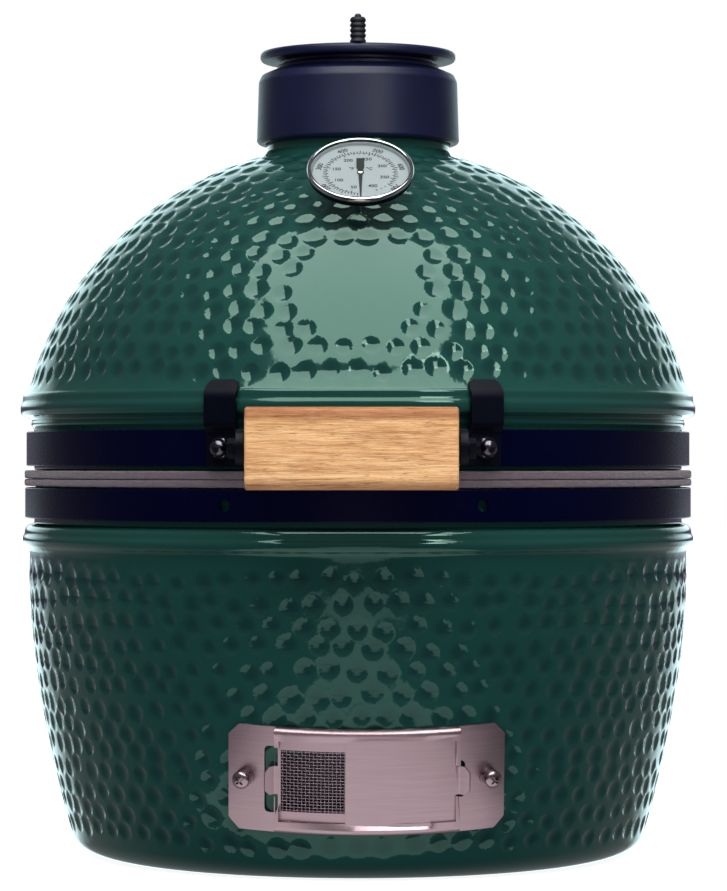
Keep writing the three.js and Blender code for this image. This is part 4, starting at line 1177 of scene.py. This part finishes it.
def cap_disc():
    low, high, radius = DISC["low"], DISC["high"], DISC["radius"]
    top_step = [(radius - 4, high), (radius - 5, high - 0.5), (14, high - 0.5), (12.5, high), (0, high)]
    outline = [(0, low + 2), (41.2, low + 2), (41.2, low - 2), (45, low - 2), (45, low), (radius - 1, low),
               (radius, low + 1.5), (radius, high - 1.5), (radius - 1.2, high)] + top_step
    plate = turned(rounded(outline, 0.7, 3, closed=False), TURNED)
    holes = [moved(prism(circle(r, SMALL), low - 4, high + 2), shift(0, y, 0))
             for r, y in ((3.3, CAP_PIVOT_Y), (3.3, 0), (2.3, GRIP_Y))]
    return soften(cut(plate, *holes, *vents(0, low - 4, high + 2)), 0.35, 50)


def daisy_wheel():
    low = DISC["low"]
    outline = [(0, low - 1.6), (40.6, low - 1.6), (40.6, low + 1.6), (0, low + 1.6)]
    wheel = turned(rounded(outline, 0.6, 3, closed=False), TURNED)
    hole = prism(circle(3.3, SMALL), low - 4, low + 4)
    pocket = prism(circle(6.5, SMALL), low - 4, low + 0.2)
    return soften(cut(wheel, hole, pocket, *vents(36, low - 4, low + 4)), 0.3, 50)


def centre_screw():
    high = DISC["high"]
    parts = [threaded(3, 471.2, high + 1), pan_head(6, high + 0.3, 2.1), hex_nut(6, 471.1, 472.5)]
    return merged(parts)


def pivot_bolt():
    high = DISC["high"]
    nut = hex_nut(5.5, high + 0.6, high + 4)
    parts = [threaded(3, 456, high + 1), nut, washer(3.1, 5.9, high, high + 0.6, 0.2)]
    return moved(merged(parts), shift(0, CAP_PIVOT_Y, 0))


def cap_grip():
    """A ribbed silicone knob."""
    high = DISC["high"]
    profile = [(2.3, high + 0.3), (4.8, high + 0.3), (4.7, high + 1.3), (4.1, high + 2.1)]
    for i in range(4):
        z = high + 4.2 + 3 * i
        profile += [(4.0, z - 1.4), (4.7, z - 0.5), (4.7, z + 0.5), (4.0, z + 1.4)]
    profile += [(3.6, 493.0), (2.3, 493.2)]
    return moved(turned(rounded(profile, 0.45, 3), SMALL), shift(0, GRIP_Y, 0))


def grip_post():
    profile = [(0, 473.1), (2, 473.1), (2, 494), (1.2, 495), (0, 495)]
    return moved(turned(rounded(profile, 0.4, 3, closed=False), SMALL), shift(0, GRIP_Y, 0))


def add_cap():
    add("chimney_collar", cap_collar(), "lid", "cast_iron", IRON, ["cap_collar"])
    add("collar_pivot", pivot_bolt(), "lid", "fastener", ZINC, ["cap_pivot_bolt"])
    add("vent_disc", cap_disc(), "cap", "cast_iron", IRON, ["cap_disc"])
    add("disc_screw", centre_screw(), "cap", "fastener", ZINC, ["cap_centre_screw"])
    add("ribbed_knob", cap_grip(), "cap", "silicone", RUBBER, ["cap_grip"])
    add("knob_post", grip_post(), "cap", "cast_iron", IRON, ["cap_grip_post"])
    add("vent_wheel", daisy_wheel(), "daisy", "cast_iron", IRON, ["daisy_wheel"])


# ---------------------------------------------------------------- thermometer, along its own +Z
def placed(x, y, z, tilt, yaw):
    """A local frame in metres: leaned back by tilt, then turned by yaw."""
    return Matrix.Translation((x * MM, y * MM, z * MM)) @ spin("Z", yaw) @ spin("X", tilt)


def thermometer_place():
    radius, yaw = THERMOMETER["r"], THERMOMETER["yaw"]
    x = radius * math.sin(math.radians(yaw))
    y = -radius * math.cos(math.radians(yaw))
    return placed(x, y, THERMOMETER["z"], 90 - THERMOMETER["elevation"], yaw)


def scale_angle(fahrenheit):
    """Where the scale puts a temperature, in degrees clockwise from the top of the dial."""
    return (fahrenheit - 450) / 2


def dial_point(radius, degrees):
    return radius * math.sin(math.radians(degrees)), radius * math.cos(math.radians(degrees))


def dial_ticks():
    """Both scales' graduations, as thin printed marks."""
    marks = []
    fahrenheit = [(f, SCALE_R, SCALE_R + (2.4 if f % 50 == 0 else 1.7)) for f in range(100, 701, 10)]
    celsius = [(c * 1.8 + 32, SCALE_R - (1.8 if c % 50 == 0 else 1.1), SCALE_R) for c in range(50, 401, 10)]
    for value, inner, outer in fahrenheit + celsius:
        mark = prism(rectangle(-0.26, inner, 0.26, outer), DIAL_Z, DIAL_Z + 0.08)
        marks.append(moved(mark, spin("Z", -scale_angle(value))))
    sweep = np.linspace(scale_angle(100), scale_angle(700), 121)
    outer_arc = [dial_point(SCALE_R + 0.1, a) for a in sweep]
    inner_arc = [dial_point(SCALE_R - 0.1, a) for a in reversed(sweep)]
    marks.append(prism(outer_arc + inner_arc, DIAL_Z, DIAL_Z + 0.07))
    return merged(marks)


def lettering(text, size):
    """Printed characters as a thin mesh about the origin."""
    curve = bpy.data.curves.new("print", "FONT")
    curve.body = text
    curve.size = size
    curve.extrude = 0.04
    curve.offset = 0.07
    curve.align_x = "CENTER"
    curve.align_y = "CENTER"
    holder = bpy.data.objects.new("print", curve)
    bpy.context.scene.collection.objects.link(holder)
    graph = bpy.context.evaluated_depsgraph_get()
    mesh = bpy.data.meshes.new_from_object(holder.evaluated_get(graph))
    bpy.data.objects.remove(holder)
    bpy.data.curves.remove(curve)
    return mesh


def dial_numbers():
    labels = []
    for value in range(100, 701, 100):
        label = moved(lettering(str(value), 4.2), shift(0, SCALE_R + 4.3, DIAL_Z + 0.04))
        labels.append(moved(label, spin("Z", -scale_angle(value))))
    for value in range(50, 401, 50):
        x, y = dial_point(SCALE_R - 5.2, scale_angle(value * 1.8 + 32))
        labels.append(moved(lettering(str(value), 3.5), shift(x, y, DIAL_Z + 0.04)))
    labels.append(moved(lettering("°F", 3.2), shift(-5.0, 4.2, DIAL_Z + 0.04)))
    labels.append(moved(lettering("°C", 3.2), shift(5.0, 4.2, DIAL_Z + 0.04)))
    return merged(labels)


def thermometer_case():
    profile = [(0, 9), (8, 9), (8, 11), (20, 13), (28.6, 19.2), (29.4, 20.2), (29.4, 22.6), (28.3, 22.6),
               (28.3, 20.6), (19, 14.6), (0, 13.4)]
    return turned(rounded(profile, 0.8, 4, closed=False), TURNED)


def thermometer_bezel():
    profile = [(29.2, 22.9), (29.8, 22.9), (30, 23.3), (30, 24.2), (29.6, 25.2), (28.7, 25.6), (27.9, 25.3),
               (27.7, 24.9), (29.2, 24.9)]
    return turned(rounded(profile, 0.7, 4), TURNED)


def thermometer_pointer():
    half = [(0.25, -23.5), (1.1, -3), (1.2, 2.5), (2.2, 4.5), (2.2, 13.4)]
    needle = half + [(-x, y) for x, y in reversed(half)]
    return prism(rounded(needle, 0.3, 3), DIAL_Z + 0.5, DIAL_Z + 0.9, 0.1)


def pointer_hub():
    hub = bezier(((1.9, DIAL_Z + 1.1), (1.8, DIAL_Z + 1.7), (0, DIAL_Z + 1.7)), 6)
    return turned([(0, DIAL_Z + 0.4), (1.9, DIAL_Z + 0.4)] + hub, SMALL)


def lens():
    crown = bezier(((28, 24.2), (14, 24.75), (0, 24.8)), 8)
    return turned([(0, 23.5), (28, 23.5)] + crown, TURNED)


def add_thermometer():
    kept = {"place": thermometer_place()}
    add("gauge_cup", thermometer_case(), "lid", "gauge_case", BRACKET, ["thermometer_case"], **kept)
    add("gauge_bezel", thermometer_bezel(), "lid", "gauge_steel", CHROME, ["thermometer_bezel"], **kept)
    add("gauge_lens", lens(), "lid", "gauge_glass", LENS, ["thermometer_lens"], **kept)
    face = [(0, DIAL_Z - 0.8), (28.1, DIAL_Z - 0.8), (28.1, 23.4), (27.4, 23.4), (26.9, DIAL_Z), (0, DIAL_Z)]
    dial = turned(rounded(face, 0.2, 2, closed=False))
    add("gauge_dial", dial, "lid", "gauge_dial", DIAL, ["thermometer_dial"], **kept)
    add("gauge_ticks", dial_ticks(), "lid", "gauge_pointer", PRINT, **kept)
    add("gauge_numbers", dial_numbers(), "lid", "gauge_pointer", PRINT, **kept)
    add("gauge_needle", thermometer_pointer(), "pointer", "gauge_pointer", POINTER,
        ["thermometer_pointer"], **kept)
    add("gauge_hub", pointer_hub(), "pointer", "gauge_steel", CHROME, **kept)
    probe = [(0, -88), (2.2, -86.6), (3, -83), (3, 15.5), (0, 15.5)]
    add("gauge_probe", turned(rounded(probe, 1, 4, closed=False), SMALL), "lid", "gauge_steel", SHEET_STEEL,
        ["thermometer_probe"], **kept)
    clip = turned(rounded(rectangle(3.3, -29, 12, -27.4), 0.5, 3), SMALL)
    add("gauge_clip", clip, "lid", "spring_steel", SPRING, ["thermometer_clip"], **kept)
    # Glossy rays pass the gauge by, so the dome under it does not mirror it.
    for name in ("cup", "bezel", "lens", "dial", "ticks", "numbers", "needle", "hub"):
        bpy.data.objects["gauge_" + name].visible_glossy = False


# ---------------------------------------------------------------- draft door, in the frame of its bend
def door_place():
    reach = DOOR["seat_r"] + DOOR["clearance"] - DOOR["bend"] * math.cos(math.radians(DOOR["tilt"]))
    height = DOOR["seat_z"] + DOOR["bend"] * math.sin(math.radians(DOOR["tilt"]))
    yaw = math.radians(DOOR["yaw"])
    return placed(reach * math.sin(yaw), -reach * math.cos(yaw), height, DOOR["tilt"], DOOR["yaw"])


def door_slab(outline, back, front):
    """A flat outline in X and Z, solid between two depths towards the front."""
    frame_of = Matrix(((1, 0, 0, 0), (0, 0, -1, 0), (0, 1, 0, 0), (0, 0, 0, 1)))
    return moved(prism(outline, back, front), frame_of)


def wrap(vertices):
    """Bends flat places round the base: x runs along the arc, -y stands off from it."""
    for vertex in vertices:
        angle = vertex.co.x / DOOR["bend"]
        radius = DOOR["bend"] - vertex.co.y
        vertex.co.x = radius * math.sin(angle)
        vertex.co.y = -radius * math.cos(angle)


def sliced(bm, places):
    """Cuts a mesh across X at each place, so that it can bend there."""
    for x in places:
        geometry = bm.verts[:] + bm.edges[:] + bm.faces[:]
        bmesh.ops.bisect_plane(bm, geom=geometry, plane_co=(x, 0, 0), plane_no=(1, 0, 0), dist=1e-4)


def bent(mesh, step=3.0):
    """A flat door part wrapped round the base."""
    bm = editable(mesh)
    low = min(v.co.x for v in bm.verts)
    high = max(v.co.x for v in bm.verts)
    sliced(bm, [low + i * step for i in range(1, math.ceil((high - low) / step))])
    wrap(bm.verts)
    return mesh_from(bm)


def lengthwise(outline, low, high):
    """A section in (depth, z) carried along the door from one x to another."""
    frame_of = Matrix(((0, 0, 1, 0), (-1, 0, 0, 0), (0, 1, 0, 0), (0, 0, 0, 1)))
    return moved(prism(outline, low, high), frame_of)


def channel_section(inset, back):
    """The raised channel's cross-section, with its top and bottom edges rolled."""
    half, depth, roll = DOOR_HALF_HEIGHT - inset, CHANNEL_DEPTH - inset, 3.8 - inset
    lower = bezier(((depth - roll, -half), (depth, -half), (depth, -half + roll)), 8)
    upper = [(d, -z) for d, z in reversed(lower)]
    return [(back, -half)] + lower + upper + [(back, half)]


def door_frame():
    """A pressed steel frame: flat ends, a rolled channel between them, a window, and a slot at each end."""
    edge, half, width = CHANNEL_HALF_WIDTH, DOOR_HALF_HEIGHT, DOOR_HALF_WIDTH
    raised = lengthwise(channel_section(0, 0), -edge, edge)
    hollow = lengthwise(channel_section(SHEET, -1), -edge + SHEET, edge - SHEET)
    flange_outline = rectangle(-width, -half, width, half)
    chamfered = []
    for x, z in flange_outline:
        sx, sz = math.copysign(1, x), math.copysign(1, z)
        pair = [(x - sx * DOOR_CORNER, z), (x, z - sz * DOOR_CORNER)]
        chamfered += pair if sx * sz < 0 else reversed(pair)
    flange = door_slab(rounded(chamfered, 0.8, 3), 0, SHEET)
    behind = door_slab(rectangle(-edge + SHEET, -half + SHEET, edge - SHEET, half - SHEET), -1, SHEET + 1)
    window_x, window_z = edge - 2.4, half - 7
    window = door_slab(rectangle(-window_x, -window_z, window_x, window_z), -1, CHANNEL_DEPTH + 1)
    body = cut(joined(cut(flange, behind), cut(raised, hollow)), window)
    tools = []
    mouth = TONGUE["half"] + 0.8
    for side, outwards, tall in END_SLOTS:
        low, high = sorted((side * (edge - 3), side * (edge + outwards)))
        slot = rounded(rectangle(low, -tall, high, tall), 3, 6)
        tools.append(door_slab(slot, -2, CHANNEL_DEPTH - SHEET + 0.1))
        near, far = sorted((side * (edge - 2.6), side * (edge + 1)))
        tools.append(door_slab(rectangle(near, -mouth, far, mouth), 0, CHANNEL_DEPTH + 1))
        tools.append(door_slab(circle(3, SMALL, (side * SCREW_X, 0)), -2, 4))
    return bent(soften(cut(body, *tools), 0.3, 40, 2))


def pull_tab(depth, thick, root, side):
    """A chamfered finger tab that bends forwards through the end slot and stands off the frame."""
    half, length, bend_r, chamfer = TONGUE["half"], TONGUE["length"], TONGUE["bend_r"], TONGUE["chamfer"]
    outline = [(-1, -half), (length - chamfer, -half), (length, -half + chamfer), (length, half - chamfer),
               (length - chamfer, half), (-1, half)]
    tab = door_slab(rounded(outline, 0.8, 3), 0, thick)
    straight = TONGUE["straight"]
    bm = editable(tab)
    sliced(bm, [straight + 0.35 * i for i in range(1, 14)])
    turn = math.radians(TONGUE["bend"])
    for vertex in bm.verts:
        along, out = vertex.co.x - straight, -vertex.co.y
        if along > 0:
            angle = min(along / bend_r, turn)
            rest = max(along - bend_r * turn, 0)
            radius = bend_r - out
            vertex.co.x = straight + radius * math.sin(angle) + rest * math.cos(angle)
            vertex.co.y = -(bend_r - radius * math.cos(angle) + rest * math.sin(angle))
    tab = mesh_from(bm)
    if side < 0:
        tab = moved(tab, spin("Z", 180), Matrix.Scale(-1, 4, (0, 1, 0)))
        tab.flip_normals()
    return moved(tab, shift(root, -depth, 0))


def slider(depth, thick, low_x, high_x, tongue_side):
    """A thin sliding sheet with a finger tab out through the frame's end slot."""
    half = DOOR_HALF_HEIGHT - SHEET - 0.5
    sheet = door_slab(rectangle(low_x, -half, high_x, half), depth, depth + thick)
    end = low_x if tongue_side < 0 else high_x
    return joined(sheet, pull_tab(depth, thick, end, tongue_side))


def draft_screen():
    (low, high), half = MESH_WINDOW["x"], MESH_WINDOW["half_z"]
    opening = door_slab(rounded(rectangle(low, -half, high, half), 0.8, 3), -1, 8)
    sheet = cut(slider(1.5, 0.9, -49, 12, -1), opening)
    return bent(soften(sheet, 0.15, 40))


def draft_plate():
    return bent(soften(slider(2.8, 1.0, -12, 48.6, 1), 0.2, 40))


def woven_mesh():
    """Plain-woven wire: each wire passes over and under the ones it crosses."""
    (low, high), half = MESH_WINDOW["x"], MESH_WINDOW["half_z"]
    wire = MESH_WINDOW["wire"]
    columns = round((high - low) / MESH_WINDOW["pitch_x"])
    rows = round(2 * half / MESH_WINDOW["pitch_z"])
    across, up = (high - low) / columns, 2 * half / rows
    depth = 1.95
    parts = []
    for i in range(columns):
        x = low + (i + 0.5) * across
        steps = [(k, (-1) ** (i + k // 2) if k % 2 == 0 else 0) for k in range(2 * rows - 1)]
        path = [(x, -depth - wire * s, -half + up * (0.5 + k / 2)) for k, s in steps]
        parts.append(tube([(x, -depth, -half - 0.6)] + path + [(x, -depth, half + 0.6)], wire, 6))
    for j in range(rows):
        z = -half + (j + 0.5) * up
        steps = [(k, (-1) ** (j + k // 2 + 1) if k % 2 == 0 else 0) for k in range(2 * columns - 1)]
        path = [(low + across * (0.5 + k / 2), -depth - wire * s, z) for k, s in steps]
        parts.append(tube([(low - 0.6, -depth, z)] + path + [(high + 0.6, -depth, z)], wire, 6))
    cloth = merged(parts)
    wrap(cloth.vertices)
    return cloth


def at_screw(mesh, side):
    return moved(mesh, spin("X", 90), spin("Z", side * math.degrees(SCREW_X / DOOR["bend"])))


def draft_screw(side):
    seat = DOOR["bend"] + SHEET + 0.6 + WASHER_STACK
    return at_screw(merged([threaded(2.4, DOOR["bend"] - 12, seat + 1), pan_head(5, seat, 3.8)]), side)


def lock_washers(side):
    """A split spring washer between two flat ones."""
    low = DOOR["bend"] + SHEET + 0.3
    top = low + WASHER_STACK
    split = moved(box((-0.35, 2, low), (0.35, 6, top)), spin("Z", 60))
    spring = cut(washer(2.9, 4.7, low + 1.6, top - 1.7, 0.4), split)
    parts = [washer(2.8, 5.2, low, low + 1.5), spring, washer(2.8, 5.0, top - 1.6, top)]
    return at_screw(merged(parts), side)


def add_door():
    kept = {"place": door_place()}
    add("door_frame", door_frame(), "base", "door_steel", DOOR_STEEL, ["draft_frame"], **kept)
    add("sliding_screen", draft_screen(), "screen", "door_steel", DOOR_STEEL, ["draft_screen"], **kept)
    add("spark_mesh", woven_mesh(), "screen", "mesh_steel", MESH_STEEL, ["draft_mesh"], **kept)
    add("sliding_plate", draft_plate(), "plate", "door_steel", DOOR_STEEL, ["draft_plate"], **kept)
    for hand, side in HANDS:
        add("door_screw_" + hand, draft_screw(side), "base", "fastener", SCREW_STEEL,
            ["draft_screw_" + hand], **kept)
        add("door_washers_" + hand, lock_washers(side), "base", "fastener", SCREW_STEEL,
            ["draft_washer_" + hand], **kept)


# ---------------------------------------------------------------- studio
def area_light(name, width, height, radiance):
    """A rectangular light that the camera does not see."""
    light = bpy.data.lights.new(name, "AREA")
    light.shape = "RECTANGLE"
    light.size = width
    light.size_y = height
    light.energy = radiance * 4 * width * height
    lamp = bpy.data.objects.new(name, light)
    lamp.visible_camera = False
    bpy.context.scene.collection.objects.link(lamp)
    return lamp


def softbox(name, panel, aim):
    """A light that faces the grill. Azimuth 0 is the front, 90 the right."""
    lamp = area_light(name, *panel["size"], panel["radiance"])
    a, e = math.radians(panel["azimuth"]), math.radians(panel["elevation"])
    towards = Vector((math.sin(a) * math.cos(e), -math.cos(a) * math.cos(e), math.sin(e)))
    lamp.location = Vector(aim) + towards * panel["distance"]
    lamp.rotation_euler = towards.to_track_quat("Z", "Y").to_euler()


def floor_cards():
    """Dim bounce cards in front that face up, seen only in the gloss of the base and the draft door."""
    for name, (middle, width, near, far, radiance) in CARDS.items():
        card = area_light(name, width, near - far, radiance)
        card.location = (middle, (near + far) / 2, CARD_HEIGHT)
        card.rotation_euler = (math.pi, 0, 0)


def studio_world():
    """Plain white to the eye. In reflections: bright high up behind, dim plum at eye level, dark in front."""
    world = bpy.data.worlds.new("studio")
    bpy.context.scene.world = world
    world.use_nodes = True
    world.node_tree.nodes.clear()
    sky = Nodes(world.node_tree)
    towards = sky.node("SeparateXYZ", {0: sky.node("TexCoord").outputs["Generated"]}).outputs

    def ease(axis, low, high):
        inputs = {"Value": towards[axis], "From Min": low, "From Max": high}
        return sky.node("MapRange", inputs, interpolation_type="SMOOTHSTEP").outputs["Result"]

    behind = ease("Y", 0.66, 0.92)
    level = sky.blend(ease("Y", -0.2, 0.6), WORLD_FRONT, WORLD_LEVEL)
    high = sky.blend(behind, WORLD_OVER, WORLD_BACK)
    floor = sky.blend(ease("Y", -0.6, 0.5), WORLD_FRONT, WORLD_UNDER)
    low = sky.blend(behind, floor, sky.blend(ease("Z", -0.16, -0.34), WORLD_BACK, WORLD_UNDER))
    upper = sky.blend(ease("Z", 0.01, 0.1), level, high)
    mirrored = sky.blend(ease("Z", -0.01, -0.07), upper, low)
    path = sky.node("LightPath").outputs
    around = sky.node("Background", {"Color": sky.blend(path["Is Diffuse Ray"], mirrored, WORLD_FILL)})
    seen = sky.node("Background", {"Color": (1, 1, 1, 1)})
    mix = sky.node("MixShader", {0: path["Is Camera Ray"], 1: around.outputs[0], 2: seen.outputs[0]})
    sky.node("OutputWorld", {"Surface": mix.outputs[0]})


def studio():
    studio_world()
    softbox("key", KEY, KEY_AIM)
    softbox("strip", STRIP, STRIP_AIM)
    floor_cards()
    floor = bpy.data.meshes.new("floor")
    floor.from_pydata([(x, y, 0) for x, y in circle(FLOOR_R, 96)], [], [tuple(range(96))])
    floor.materials.append(pale_floor())
    holder = bpy.data.objects.new("floor", floor)
    holder.visible_glossy = False
    holder.visible_diffuse = False
    bpy.context.scene.collection.objects.link(holder)
    bpy.context.scene.view_settings.view_transform = "Standard"


def camera():
    """Level, far back and almost in line with the rims."""
    data = bpy.data.cameras.new("camera")
    data.sensor_width = 36
    data.lens = CAMERA["lens"]
    data.shift_x = CAMERA["shift_x"]
    data.shift_y = CAMERA["shift_y"]
    data.clip_end = 60
    holder = bpy.data.objects.new("camera", data)
    holder.location = CAMERA["at"]
    holder.rotation_euler = (math.radians(90), 0, 0)
    bpy.context.scene.collection.objects.link(holder)
    bpy.context.scene.camera = holder


camera()
studio()
add_ceramics()
add_bands()
add_hinge()
add_handle()
add_cap()
add_thermometer()
add_door()

bpy.context.view_layer.update()
